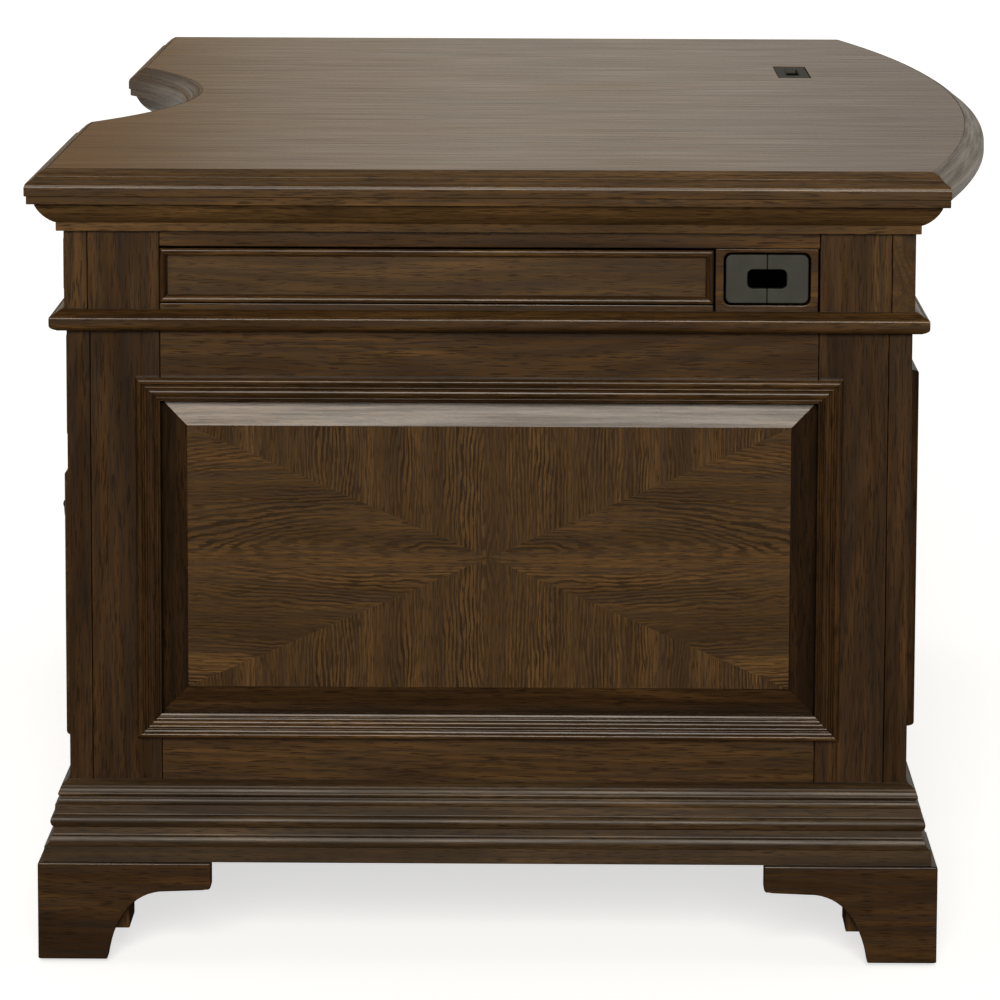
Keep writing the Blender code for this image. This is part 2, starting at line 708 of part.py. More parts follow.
def pull(name, middle_x, face, height, metal, parent):
    """A bail pull: a round foot at each end and a bar that bows down between them."""
    half = PULL_SPAN / 2
    path = [(-half, 0.0, 0.0, 0.011), (-half, 0.0025, 0.0, 0.011), (-half, 0.003, 0.0, 0.0045)]
    path += [(-half, PULL_OUT - 0.010, 0.0, 0.0042), (-half + 0.003, PULL_OUT - 0.004, -0.002, 0.0042)]
    path += [(-half + 0.010, PULL_OUT - 0.001, -0.006, 0.0036), (-half + 0.024, PULL_OUT, -0.012, 0.0036)]
    path += [(0.0, PULL_OUT, -0.015, 0.0044)]
    path += [(-u, out, up, radius) for u, out, up, radius in reversed(path[:-1])]
    loops = []
    for i, (u, out, up, radius) in enumerate(path):
        before = path[max(i - 1, 0)]
        after = path[min(i + 1, len(path) - 1)]
        if i < 3 or i > len(path) - 4:
            heading = math.pi / 2 if i < 3 else -math.pi / 2
        else:
            heading = math.atan2(after[1] - before[1], after[0] - before[0])
        loop = []
        for step in range(PULL_SIDES):
            angle = math.tau * step / PULL_SIDES
            side = radius * math.cos(angle)
            x = middle_x + u - side * math.sin(heading)
            y = -face - out - side * math.cos(heading)
            loop.append((x, y, height + up + radius * math.sin(angle)))
        loops.append(loop)
    thing = loft(name, loops, metal, parent)
    thing.data.shade_smooth()
    thing.data.set_sharp_from_angle(angle=math.radians(40))


def straight_drawer(word, desk, side, case_face, proud, low, high, long, materials):
    veneer, inside, metal = materials
    parent = slide(f"{word}_drawer_slide", desk)
    xs = sorted((side * (OPENING_IN + DRAWER_GAP), side * (OPENING_OUT - DRAWER_GAP)))
    area = (*xs, low + DRAWER_GAP, high - DRAWER_GAP)
    steps = [(0, proud - DRAWER_FRONT), (0, proud - 0.0045), (0.004, proud)]
    panel(f"{word}_drawer_front", facing_sitter(case_face), area, steps, veneer, parent)
    start = -case_face - proud + DRAWER_FRONT + FIT
    box_xs = sorted((side * (OPENING_IN + SLIDE_ROOM), side * (OPENING_OUT - SLIDE_ROOM)))
    outer = rectangle(*box_xs, start, start + long)
    inner = rectangle(*box_xs, start, start + long, DRAWER_WALL)
    top = high - 0.010 if high - low < 0.2 else high - 0.040
    tray(f"{word}_drawer_box", outer, inner, low + 0.006, top, inside, parent)
    middle = side * (OPENING_IN + OPENING_OUT) / 2
    height = high - FILE_PULL_DROP if high - low > 0.2 else (low + high) / 2 + PULL_LIFT
    pull(f"{word}_drawer_pull", middle, case_face + proud + FIT, height, metal, parent)


def centre_drawer(desk, materials):
    veneer, inside, _ = materials
    parent = slide("center_drawer_slide", desk)
    half = CENTRE_HALF - DRAWER_GAP
    xs = [half * (2 * step / KNEE_STEPS - 1) for step in range(KNEE_STEPS + 1)]
    front = [(x, knee_y(x, APRON_INSET) - DRAWER_PROUD) for x in xs]
    back = [(x, knee_y(x, APRON_INSET) + DRAWER_FRONT - DRAWER_PROUD) for x in xs]
    levels = (FRIEZE_DRAWER_LOW + DRAWER_GAP, FRIEZE_DRAWER_HIGH - DRAWER_GAP)
    loops = [[(x, y, z) for x, y in front + back[::-1]] for z in levels]
    loft("center_drawer_front", loops, veneer, parent)

    def plan(wall):
        """The box's walls. The front one is parallel to each facet of the board that it backs."""
        reach = CENTRE_HALF - SLIDE_ROOM - wall
        bends = [reach, *xs[-2:0:-1], -reach]
        curve = [(x, along(back, x) + FIT + wall) for x in bends]
        end = knee_y(0.0, APRON_INSET) + CENTRE_TRAY_LONG - wall
        return [(-reach, end), (reach, end)] + curve

    low = FRIEZE_DRAWER_LOW + 0.006
    tray("center_drawer_box", plan(0.0), plan(DRAWER_WALL), low, FRIEZE_DRAWER_HIGH - 0.010, inside, parent)


# ---- assembly -----------------------------------------------------------------------------------
def build():
    for old in list(bpy.data.objects):
        bpy.data.objects.remove(old, do_unlink=True)
    desk = bpy.data.objects.new("desk", None)
    bpy.context.scene.collection.objects.link(desk)
    desk.location = (0.0, -BOW / 2, 0.0)

    wood = make_material("burnished_oak", (0.060, 0.034, 0.017), 0.45)
    veneer = make_material("oak_veneer", (0.072, 0.042, 0.022), 0.42)
    inside = make_material("drawer_interior", (0.46, 0.32, 0.19), 0.60)
    plastic = make_material("outlet_plastic", (0.030, 0.030, 0.027), 0.50)
    metal = make_material("aged_bronze", (0.090, 0.062, 0.036), 0.40, 1.0)
    materials = (veneer, inside, metal)

    build_top(wood, veneer, plastic, desk)
    build_apron(wood, veneer, plastic, desk)
    for side, word in ((1, "right"), (-1, "left")):
        build_pedestal(side, word, wood, veneer, desk)
        rows = (
            ("frieze", APRON_Y, DRAWER_PROUD, FRIEZE_DRAWER_LOW, FRIEZE_DRAWER_HIGH, FRIEZE_TRAY_LONG),
            ("box", PED_Y, DRAWER_PROUD, BOX_LOW, BOX_HIGH, TRAY_LONG),
            ("file", PED_Y, FILE_PROUD, FILE_LOW, FILE_HIGH, TRAY_LONG),
        )
        for kind, *sizes in rows:
            straight_drawer(f"{word}_{kind}", desk, side, *sizes, materials)
    build_modesty(wood, veneer, desk)
    centre_drawer(desk, materials)


build()
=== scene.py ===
import math

import bpy
from mathutils import Matrix, Vector


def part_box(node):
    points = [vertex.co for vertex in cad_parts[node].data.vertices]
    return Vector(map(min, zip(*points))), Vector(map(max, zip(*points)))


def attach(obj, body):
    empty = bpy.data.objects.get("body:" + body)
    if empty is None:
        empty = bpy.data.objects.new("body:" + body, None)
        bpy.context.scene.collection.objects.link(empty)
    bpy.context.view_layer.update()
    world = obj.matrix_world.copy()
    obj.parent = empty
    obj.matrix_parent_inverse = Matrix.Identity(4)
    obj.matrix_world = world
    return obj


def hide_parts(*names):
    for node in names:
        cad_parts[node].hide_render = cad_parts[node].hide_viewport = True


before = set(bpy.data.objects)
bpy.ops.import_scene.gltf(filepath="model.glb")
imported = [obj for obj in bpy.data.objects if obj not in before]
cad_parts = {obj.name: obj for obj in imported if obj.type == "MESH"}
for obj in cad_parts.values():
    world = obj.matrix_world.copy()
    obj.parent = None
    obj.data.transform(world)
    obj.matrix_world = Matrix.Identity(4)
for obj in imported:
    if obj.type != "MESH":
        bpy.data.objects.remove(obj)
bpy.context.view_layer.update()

# ---- Floor, camera and light ---------------------------------------------------------------
# A pale studio floor that runs out past every view, a long lens looking at the desk's end from
# just above the top, a low key softbox in front, a weak one overhead, and a pale backdrop behind.
# In the polish the near floor looks dark and the backdrop has a warm flag, as studio cards give.
EYE = Vector((6.043, 0.018, 1.2406))
TURN, TILT, LEAN = math.radians(0.536), math.radians(8.743), math.radians(0.190)
LENS = 198.1

camera = bpy.data.objects.new("camera", bpy.data.cameras.new("camera"))
bpy.context.scene.collection.objects.link(camera)
camera.data.lens = LENS
camera.data.clip_end = 200
aim = Matrix.Rotation(TURN + math.pi / 2, 4, "Z") @ Matrix.Rotation(math.pi / 2 - TILT, 4, "X")
camera.matrix_world = Matrix.Translation(EYE) @ aim @ Matrix.Rotation(LEAN, 4, "Z")
bpy.context.scene.camera = camera
bpy.context.scene.view_settings.view_transform = "Standard"


def node(tree, kind, inputs=(), **settings):
    """Adds a shader node. inputs pairs a socket with a value, or with the socket that feeds it."""
    made = tree.nodes.new("ShaderNode" + kind)
    for key, value in settings.items():
        setattr(made, key, value)
    for socket, value in inputs:
        if isinstance(value, bpy.types.NodeSocket):
            tree.links.new(value, made.inputs[socket])
        else:
            made.inputs[socket].default_value = value
    return made


def ramp(tree, value, *stops):
    """A colour ramp on a value: stops are (position, colour or grey)."""
    made = node(tree, "ValToRGB", [("Fac", value)])
    marks = made.color_ramp.elements
    while len(marks) < len(stops):
        marks.new(0.5)
    for mark, (position, colour) in zip(marks, stops):
        mark.position = position
        mark.color = (*colour, 1) if isinstance(colour, tuple) else (colour, colour, colour, 1)
    return made.outputs["Color"]


def mix(tree, share, first, second, kind="MIX"):
    """Two colours mixed: share is how much of the second."""
    inputs = [(0, share), (6, first), (7, second)]
    return node(tree, "Mix", inputs, data_type="RGBA", blend_type=kind).outputs[2]


def material(name, *plain):
    """A new material, its node tree and its shader. plain pairs a shader socket with a value."""
    made = bpy.data.materials.new(name)
    made.use_nodes = True
    shader = made.node_tree.nodes["Principled BSDF"]
    for socket, value in plain:
        shader.inputs[socket].default_value = value
    return made, made.node_tree, shader


def soft_sun(name, azimuth, height, spread, strength):
    """A broad, far-off light: where it comes from, and how wide it looks from the desk."""
    lamp = bpy.data.lights.new(name, "SUN")
    lamp.angle = math.radians(spread)
    lamp.color = (1.0, 0.93, 0.82)
    lamp.energy = strength
    thing = bpy.data.objects.new(name, lamp)
    turn, rise = math.radians(azimuth), math.radians(height)
    way = Vector((math.cos(turn) * math.cos(rise), math.sin(turn) * math.cos(rise), math.sin(rise)))
    thing.rotation_euler = way.to_track_quat("Z", "Y").to_euler()
    bpy.context.scene.collection.objects.link(thing)


soft_sun("key_softbox", 0, 20, 24, 3.0)
soft_sun("overhead_softbox", 200, 76, 60, 0.34)

world = bpy.data.worlds.new("studio")
bpy.context.scene.world = world
world.use_nodes = True
room = world.node_tree
seen = node(room, "LightPath").outputs["Is Camera Ray"]
facing = node(room, "TexCoord").outputs["Generated"]
way = node(room, "SeparateXYZ", [("Vector", facing)])
backdrop = ramp(
    room, way.outputs["Z"], (0.0, (0.66, 0.62, 0.54)), (0.12, (0.60, 0.56, 0.49)),
    (0.35, (0.21, 0.20, 0.18)), (1.0, (0.16, 0.15, 0.135)),
)
sweep = node(room, "Math", [(0, way.outputs["Y"]), (1, 0.5)], operation="ADD").outputs[0]
sheen = ramp(
    room, sweep, (0.0, 1.0), (0.25, 0.9), (0.34, (0.42, 0.30, 0.20)), (0.422, (0.44, 0.32, 0.22)),
    (0.447, (0.86, 0.83, 0.79)), (0.48, 0.98), (0.53, 1.0), (0.565, (0.74, 0.78, 0.84)),
    (0.62, 0.70), (0.75, 0.9), (1.0, 1.1),
)
backdrop = mix(room, 1.0, backdrop, sheen, "MULTIPLY")
front = node(room, "MapRange", [("Value", way.outputs["X"]), ("From Min", -0.5), ("From Max", 0.3)])
walls = mix(room, front.outputs["Result"], backdrop, (0.10, 0.095, 0.085, 1))
tone = mix(room, seen, walls, (0.97, 0.97, 0.965, 1))
room.links.new(tone, room.nodes["Background"].inputs["Color"])

bpy.ops.object.select_all(action="DESELECT")
bpy.ops.mesh.primitive_circle_add(vertices=96, radius=90, fill_type="NGON")
floor = bpy.context.object
floor.name = "studio_floor"
paint, floor_tree, floor_shader = material(
    "studio_floor", ("Roughness", 0.9), ("Specular IOR Level", 0.0), ("Emission Color", (1, 1, 0.995, 1))
)
path = node(floor_tree, "LightPath")
spot = node(floor_tree, "SeparateXYZ", [("Vector", node(floor_tree, "TexCoord").outputs["Object"])])
near = node(floor_tree, "MapRange", [("Value", spot.outputs["X"]), ("From Min", -2.6), ("From Max", -1.6)])
mirrored = [(0, path.outputs["Is Glossy Ray"]), (1, near.outputs["Result"])]
mirrored = node(floor_tree, "Math", mirrored, operation="MULTIPLY").outputs[0]
floor_tone = ramp(floor_tree, mirrored, (0.0, (0.82, 0.84, 0.88)), (1.0, (0.10, 0.095, 0.085)))
floor_tree.links.new(floor_tone, floor_shader.inputs["Base Color"])
glow = node(floor_tree, "Math", [(0, path.outputs["Is Camera Ray"]), (1, 0.64)], operation="MULTIPLY")
floor_tree.links.new(glow.outputs[0], floor_shader.inputs["Emission Strength"])
floor.data.materials.append(paint)


# ---- Oak: the case timber ------------------------------------------------------------------
# White oak, stained dark walnut brown and rubbed back, darkened in its corners by ambient occlusion: partly
# glaze, partly painted shade.
# Each piece carries its own grain: where a point lies along, across and through the board.
def oak(name, pale, deep, rings, streaks, roughness=0.27, pored=0.75, loops=None):
    """Stained oak. rings, streaks and pored are how dark each shows, and roughness is the polish's.

    loops is the spacing of the growth rings where they close round a heart."""
    made, tree, shader = material(name, ("Specular IOR Level", 0.19))
    place = node(tree, "Attribute", attribute_name="grain").outputs["Vector"]

    def noise(along, across, detail, bend=0.0):
        scaled = node(tree, "Mapping", [("Vector", place), ("Scale", (along, across, across))])
        inputs = [("Vector", scaled.outputs["Vector"]), ("Scale", 1.0), ("Detail", detail)]
        return node(tree, "TexNoise", inputs + [("Distortion", bend)]).outputs["Fac"]

    def maths(operation, first, second=0.0):
        return node(tree, "Math", [(0, first), (1, second)], operation=operation).outputs[0]

    def darker(colour, mask, share):
        """Lays the dark stain where the mask is low."""
        share = maths("MULTIPLY", maths("SUBTRACT", 1.0, mask), share)
        return mix(tree, share, colour, (*dark, 1))

    if loops:
        flat = node(tree, "Mapping", [("Vector", place), ("Scale", (0.15, 1.0, 0.0))])
        across = node(tree, "VectorMath", [(0, flat.outputs["Vector"])], operation="LENGTH").outputs["Value"]
        across = maths("ADD", across, maths("MULTIPLY", noise(9.0, 30.0, 2.0), 0.0190))
        across = maths("ADD", across, maths("MULTIPLY", noise(60.0, 420.0, 2.0), 0.0030))
        lines = maths("SINE", maths("MULTIPLY", across, 2 * math.pi / loops))
        broken = maths("MULTIPLY", noise(16.0, 190.0, 2.0), 1.1)
        lines = maths("SUBTRACT", maths("MULTIPLY", lines, 0.5), maths("SUBTRACT", broken, 0.95))
        faint = ramp(tree, noise(5.0, 26.0, 2.0), (0.40, 0.85), (0.60, 0.0))
        ring_mask = maths("MAXIMUM", ramp(tree, lines, (0.10, 0.0), (0.42, 1.0)), faint)
    else:
        lines = maths("SINE", maths("MULTIPLY", noise(1.1, 13.0, 1.0, 0.25), 95.0))
        lines = maths("ADD", maths("MULTIPLY", lines, 0.5), 0.5)
        ring_mask = ramp(tree, lines, (0.05, 0.0), (0.75, 1.0))
    fine = ramp(tree, noise(7.0, 300.0, 3.0), (0.36, 0.0), (0.62, 1.0))
    pores = ramp(tree, noise(55.0, 1000.0, 1.0), (0.55, 1.0), (0.62, 0.0))
    patches = ramp(tree, noise(2.6, 30.0, 3.0), (0.32, 0.0), (0.66, 1.0))

    dark = tuple(0.38 * c for c in deep)
    colour = mix(tree, patches, (*deep, 1), (*pale, 1))
    for mask, share in ((fine, streaks), (ring_mask, rings), (pores, pored)):
        colour = darker(colour, mask, share)
    # painted shade: ambient occlusion darkens the colour in corners, quirks and where parts meet, standing
    # in for glaze and for shade alike
    corner = node(tree, "AmbientOcclusion", [("Distance", 0.008)], samples=8).outputs["AO"]
    glaze_and_painted_shade = ramp(tree, corner, (0.12, 0.10), (0.62, 0.95), (0.85, 1.0))
    tree.links.new(mix(tree, 1.0, colour, glaze_and_painted_shade, "MULTIPLY"), shader.inputs["Base Color"])
    rough = maths("ADD", maths("MULTIPLY", fine, -0.10), roughness + 0.05)
    tree.links.new(rough, shader.inputs["Roughness"])
    height = maths("ADD", maths("MULTIPLY", pores, 0.7), maths("MULTIPLY", fine, 0.3))
    bump = node(tree, "Bump", [("Height", height), ("Strength", 0.2 * streaks), ("Distance", 0.0002)])
    tree.links.new(bump.outputs["Normal"], shader.inputs["Normal"])
    return made


case_oak = oak("case_oak", (0.096, 0.0490, 0.0160), (0.036, 0.0172, 0.0055), 0.32, 0.55)
dark_oak = oak("dark_oak", (0.062, 0.0300, 0.0095), (0.024, 0.0114, 0.0036), 0.32, 0.55)
base_oak = oak("base_oak", (0.078, 0.0450, 0.0185), (0.030, 0.0165, 0.0065), 0.34, 0.58, roughness=0.38)
# a darker copy of the case oak for the side bevels of the panel borders: painted shade
border_oak = oak("border_oak", (0.034, 0.0165, 0.0054), (0.014, 0.0066, 0.0021), 0.32, 0.55)


# ---- Bracket feet --------------------------------------------------------------------------
# Four feet under each pedestal. Each is two sawn brackets mitred at the corner and glued to a
# block, on a cleat frame that screws up under the case, with a nylon glide set in the sole.
BRACKET_THICK = 0.022
SOLE, GLIDE_LIFT, ARCH, BRACKET_LONG = 0.066, 0.0045, 0.0715, 0.1655
FOOT_TOP = 0.098
MITRE_GAP = 0.00006
boards_laid = 0


def start(kind, **where):
    """Adds a primitive with nothing else selected."""
    bpy.ops.object.select_all(action="DESELECT")
    getattr(bpy.ops.mesh, f"primitive_{kind}_add")(**where)
    return bpy.context.object


def arcs(*corners, steps=6, unit=0.001):
    """An outline's points, in millimetres. A third number bows the run to a corner into an arc."""
    points = []
    last = complex(*corners[-1][:2])
    for u, v, *bow in corners:
        here = complex(u, v)
        if bow:
            turn = 4 * math.atan(bow[0])
            centre = (last + here) / 2 + 0.5j * (here - last) / math.tan(turn / 2)
            for step in range(1, steps):
                spin = complex(math.cos(turn * step / steps), math.sin(turn * step / steps))
                points.append(centre + (last - centre) * spin)
        points.append(here)
        last = here
    return [(p.real * unit, p.imag * unit) for p in points]


def section(points, place):
    """A flat face: place turns each point of its outline into a point in space."""
    piece = start("circle", vertices=len(points), fill_type="NGON")
    for spot, point in zip(piece.data.vertices, points):
        spot.co = place(*point)
    return piece


def take(piece):
    """Selects one piece and nothing else."""
    bpy.ops.object.select_all(action="DESELECT")
    bpy.context.view_layer.objects.active = piece
    piece.select_set(True)


def edit(piece, *steps):
    """Runs edit mode operators on all of a piece: each step is (operator, settings)."""
    take(piece)
    bpy.ops.object.mode_set(mode="EDIT")
    for operator, settings in steps:
        bpy.ops.mesh.select_all(action="SELECT")
        getattr(bpy.ops.mesh, operator)(**settings)
    bpy.ops.mesh.select_all(action="SELECT")
    bpy.ops.mesh.normals_make_consistent(inside=False)
    bpy.ops.object.mode_set(mode="OBJECT")


def drawn_out(piece, way):
    edit(piece, ("extrude_region_move", {"TRANSFORM_OT_translate": {"value": way}}))


def mitre(piece, corner, line, up, away):
    """Saws a piece off along the mitre line from a corner."""
    normal = Vector(line).cross(Vector(up)).normalized()
    normal = normal if normal.dot(Vector(away)) > 0 else -normal
    where = Vector(corner) - normal * MITRE_GAP
    cut = {"plane_co": where, "plane_no": normal, "use_fill": True, "clear_outer": True}
    edit(piece, ("bisect", cut))


def worked(piece, kind, **settings):
    """Applies one modifier to a piece."""
    tool = piece.modifiers.new(kind.lower(), kind)
    for key, value in settings.items():
        setattr(tool, key, value)
    take(piece)
    bpy.ops.object.modifier_apply(modifier=tool.name)


def eased(piece, width, segments=2):
    """Takes the sharpness off every arris."""
    sharp = {"limit_method": "ANGLE", "angle_limit": math.radians(40)}
    worked(piece, "BEVEL", width=width, segments=segments, **sharp)


def sawn_out(piece, cutter):
    """Cuts one shape out of a piece, and throws the cutter away."""
    worked(piece, "BOOLEAN", object=cutter, operation="DIFFERENCE")
    bpy.data.objects.remove(cutter, do_unlink=True)


def smooth(piece, degrees=32):
    """Rounds the shading over curves, and keeps flat faces flat."""
    take(piece)
    bpy.ops.object.shade_smooth_by_angle(angle=math.radians(degrees))
    worked(piece, "WEIGHTED_NORMAL", keep_sharp=True)


def lay_grain(piece, along, bend=None):
    """Gives each point its place in its own board: along the grain, then across it twice."""
    global boards_laid
    boards_laid += 1
    shift = Vector((1.37 * boards_laid % 7, 0.713 * boards_laid % 3, 0.391 * boards_laid % 2))
    order = {"X": (0, 1, 2), "Y": (1, 0, 2), "Z": (2, 0, 1)}[along]
    grain = piece.data.attributes.new("grain", "FLOAT_VECTOR", "POINT")
    for spot, held in zip(piece.data.vertices, grain.data):
        here = spot.co
        if bend is not None:
            arm = here - Vector(bend)
            radius = math.hypot(arm.x, arm.y)
            here = Vector((math.atan2(arm.x, abs(arm.y)) * radius, radius, here.z))
        held.vector = Vector([here[i] for i in order]) + shift


def fit(piece, name, finish, slot, body, *nodes):
    """Names a finished piece, stains it, and hangs it on its body in place of CAD nodes."""
    piece.name = name
    piece.data.name = name
    piece.data.materials.clear()
    piece.data.materials.append(finish)
    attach(piece, body)
    if nodes:
        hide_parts(*nodes)
    return piece


def timber(piece, name, along, *nodes, bend=None, wood=case_oak, slot="burnished_oak", body="carcass"):
    """Finishes a wooden piece: smooth, grained and fixed to its body."""
    smooth(piece)
    lay_grain(piece, along, bend)
    return fit(piece, name, wood, slot, body, *nodes)


def block(a, b):
    """A square block between two opposite corners, in either order."""
    a, b = Vector(a), Vector(b)
    piece = start("cube", size=1, location=(a + b) / 2, scale=[abs(edge) for edge in b - a])
    bpy.ops.object.transform_apply(location=True, rotation=True, scale=True)
    return piece


def board(name, a, b, along, *nodes, ease=0.0010, **how):
    """A planed board between two opposite corners, with eased arrises."""
    piece = block(a, b)
    eased(piece, ease)
    return timber(piece, name, along, *nodes, **how)


def outer_face(node_name):
    """How far a node reaches from the middle of the desk's length."""
    low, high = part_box(node_name)
    return max(-low[0], high[0])


def bracket():
    """One bracket, square on, from its corner: a straight toe, a swept arch and a small ogee."""
    toe = [(0.0, GLIDE_LIFT), (SOLE, GLIDE_LIFT)]
    pull = (SOLE + 0.010, ARCH - 0.006)
    end = (SOLE + 0.050, ARCH - 0.001)
    sweep = []
    for step in range(1, 15):
        t = step / 14
        blend = [(1 - t) ** 2 * a + 2 * t * (1 - t) * b + t * t * c for a, b, c in zip(toe[1], pull, end)]
        sweep.append(tuple(blend))
    ogee = arcs((0, 0), (7, 1.2, -0.12), (9.5, 5.0, 0.3), (9.5, 12.0), steps=4)[1:]
    tip = BRACKET_LONG - 0.0095
    ogee = [(tip + u, ARCH + v) for u, v in ogee]
    return toe + sweep + ogee + [(BRACKET_LONG, FOOT_TOP), (0.0, FOOT_TOP)]


def mottled(name, stretch, detail, tones, polish, *plain):
    """A material that wanders between two tones and, where polish has two stops, two polishes."""
    made, tree, shader = material(name, *plain)
    place = node(tree, "TexCoord").outputs["Object"]
    place = node(tree, "Mapping", [("Vector", place), ("Scale", stretch)]).outputs["Vector"]
    cloud = node(tree, "TexNoise", [("Vector", place), ("Scale", 1.0), ("Detail", detail)]).outputs["Fac"]
    tree.links.new(ramp(tree, cloud, *tones), shader.inputs["Base Color"])
    if isinstance(polish, tuple):
        tree.links.new(ramp(tree, cloud, *polish), shader.inputs["Roughness"])
    else:
        shader.inputs["Roughness"].default_value = polish
    return made


nylon_tones = (0.3, (0.012, 0.011, 0.010)), (0.7, (0.030, 0.028, 0.025))
nylon = mottled("glide_nylon", (240, 240, 240), 3.0, nylon_tones, 0.5)

SIDES = ((1, "right"), (-1, "left"))
for side, word in SIDES:
    foot_node = f"{word}_foot_frame"
    low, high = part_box(foot_node)
    columns = ("inner", "outer") if side > 0 else ("outer", "inner")
    corners = [
        (x, dx, y, dy, f"{word}_{row}_{column}_foot")
        for x, dx, column in zip((low[0], high[0]), (1, -1), columns)
        for y, dy, row in ((low[1], 1, "sitter"), (high[1], -1, "visitor"))
    ]
    for x, dx, y, dy, foot in corners:
        for name, along, place, thick, away in (
            ("face", "X", lambda u, v: (x + dx * u, y, v), (0, dy, 0), (-dx, 0, 0)),
            ("end", "Y", lambda u, v: (x, y + dy * u, v), (dx, 0, 0), (0, -dy, 0)),
        ):
            piece = section(bracket(), place)
            drawn_out(piece, BRACKET_THICK * Vector(thick))
            mitre(piece, (x, y, 0), (dx, dy, 0), (0, 0, 1), away)
            eased(piece, 0.0012)
            timber(piece, f"{foot}_{name}_bracket", along, foot_node, wood=dark_oak)
        near, far = BRACKET_THICK + 0.0002, 0.086
        corner = (x + dx * near, y + dy * near, 0.030)
        board(f"{foot}_block", corner, (x + dx * far, y + dy * far, FOOT_TOP - 0.0005), "Z", foot_node)
        sole = (x + dx * 0.027, y + dy * 0.027, 0.004)
        glide = start("cylinder", vertices=32, radius=0.0085, depth=0.008, location=sole)
        bpy.ops.object.transform_apply(location=True, rotation=True, scale=True)
        eased(glide, 0.0012, 3)
        smooth(glide)
        fit(glide, f"{foot}_glide", nylon, "outlet_plastic", "carcass", foot_node)


# ---- Base mouldings ------------------------------------------------------------------------
# One deep oak moulding round the foot of each pedestal, in four mitred lengths: an ogee and a
# bead over a fillet, then a torus, a scotia and a plain plinth.
BASE_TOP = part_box("right_base_molding")[1][2]
BASE_SECTION = arcs(
    (0.3, -76.6), (0.3, 0), (1.6, 0), (2.2, -0.5, -0.2), (7.6, -5.4, -0.10), (9.2, -8.4, 0.08),
    (10.3, -11.4, 0.06), (10.2, -14.9, -0.42), (8.4, -16.2, 0.1), (8.6, -18.0), (9.6, -18.5, -0.3),
    (11.9, -22.6, 0.16), (13.6, -23.2), (14.0, -31.4), (15.2, -33.2, 0.3), (15.9, -33.4),
    (16.0, -43.6, -0.40), (14.6, -44.8, 0.2), (14.9, -50.8), (16.4, -53.2, 0.25), (17.3, -53.4),
    (22.6, -61.6, 0.26), (23.5, -62.0), (23.6, -76.6),
)


def length_of(points, begin, end, inward, up, mitres, bend=None, steps=40):
    """A length of moulding from corner to corner, run a little long and then mitred.

    points are (inward, up) from the line. bend is the centre of a curved length."""
    begin, end, inward, up = Vector(begin), Vector(end), Vector(inward), Vector(up)
    spare = 0.03
    if bend is None:
        along = (end - begin).normalized()
        piece = section(points, lambda a, b: begin - along * spare + inward * a + up * b)
        drawn_out(piece, along * ((end - begin).length + 2 * spare))
        leaving, arriving = -along, along
    else:
        bend = Vector(bend)
        flat = (begin - bend).xy, (end - bend).xy
        sweep = -flat[0].angle_signed(flat[1])
        extra = spare / flat[0].length * (1 if sweep > 0 else -1)
        turn = Matrix.Rotation(-extra, 3, "Z")
        arm = turn @ (begin - bend)
        radial = Vector((arm.x, arm.y, 0)).normalized() * (1 if inward.dot(begin - bend) > 0 else -1)
        piece = section(points, lambda a, b: bend + arm + radial * a + up * b)
        turns = {"steps": steps, "angle": -sweep - 2 * extra, "center": bend, "axis": (0, 0, 1)}
        edit(piece, ("spin", turns))
        leaving, arriving = begin - end, end - begin
    mitre(piece, begin, mitres[0], up, leaving)
    mitre(piece, end, mitres[1], up, arriving)
    return piece


BASE_OUT = 0.0235
for side, word in SIDES:
    base_node = f"{word}_base_molding"
    (x0, y0, _), (x1, y1, _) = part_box(base_node)
    x0, x1, y0, y1 = x0 + BASE_OUT, x1 - BASE_OUT, y0 + BASE_OUT, y1 - BASE_OUT
    corners = [(x0, y0, 1, 1), (x1, y0, -1, 1), (x1, y1, -1, -1), (x0, y1, 1, -1)]
    faces = ("sitter", "outer", "visitor", "inner") if side > 0 else ("sitter", "inner", "visitor", "outer")
    for number, outward in enumerate(((0, -1, 0), (1, 0, 0), (0, 1, 0), (-1, 0, 0))):
        ends = corners[number], corners[(number + 1) % 4]
        begin, end = [(x, y, BASE_TOP) for x, y, _, _ in ends]
        lines = [(dx, dy, 0) for _, _, dx, dy in ends]
        piece = length_of(BASE_SECTION, begin, end, outward, (0, 0, 1), lines)
        timber(piece, f"{base_node}_{faces[number]}", "XY"[number % 2], base_node, wood=base_oak)


# ---- Pedestal frames -----------------------------------------------------------------------
# Each pedestal is a box of framed sides: solid oak stiles and rails, glued and pegged from
# behind. The front and back frames run past the end frame, so their edges show as corner strips.
JOINT = 0.00015
FRAME_DEPTH = (-0.022, 0)
FRONT_CLEAR = 0.002
MIDDLE = (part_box("right_end_frame")[0][1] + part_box("right_end_frame")[1][1]) / 2
WINDOW_LOW, WINDOW_HIGH = [corner[2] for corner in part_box("right_end_panel")]


def frame_side(prefix, flat, stiles, rails, low, high, node_name):
    """Two stiles and the rails between them. flat turns (along, up, out) into a point."""
    def piece(name, u, v, along):
        a, b = flat(u[0], v[0], FRAME_DEPTH[0]), flat(u[1], v[1], FRAME_DEPTH[1])
        wood = dark_oak if along == "Z" and low < BASE_TOP else case_oak
        board(f"{prefix}_{name}", a, b, along, node_name, wood=wood)

    across = "Y" if flat(1, 0, 0)[1] != flat(0, 0, 0)[1] else "X"
    (first, inner_first), (inner_last, last) = stiles
    piece("stile_a", (first, inner_first - JOINT), (low, high), "Z")
    piece("stile_b", (inner_last + JOINT, last), (low, high), "Z")
    for name, bottom, top in rails:
        piece(name, (inner_first + JOINT, inner_last - JOINT), (bottom, top), across)


def on_end(side, face):
    return lambda u, v, out: (side * (face + out), MIDDLE + u, v)


def on_visitor(face):
    return lambda u, v, out: (u, face + out, v)


def on_sitter(face):
    return lambda u, v, out: (u, face - out, v)


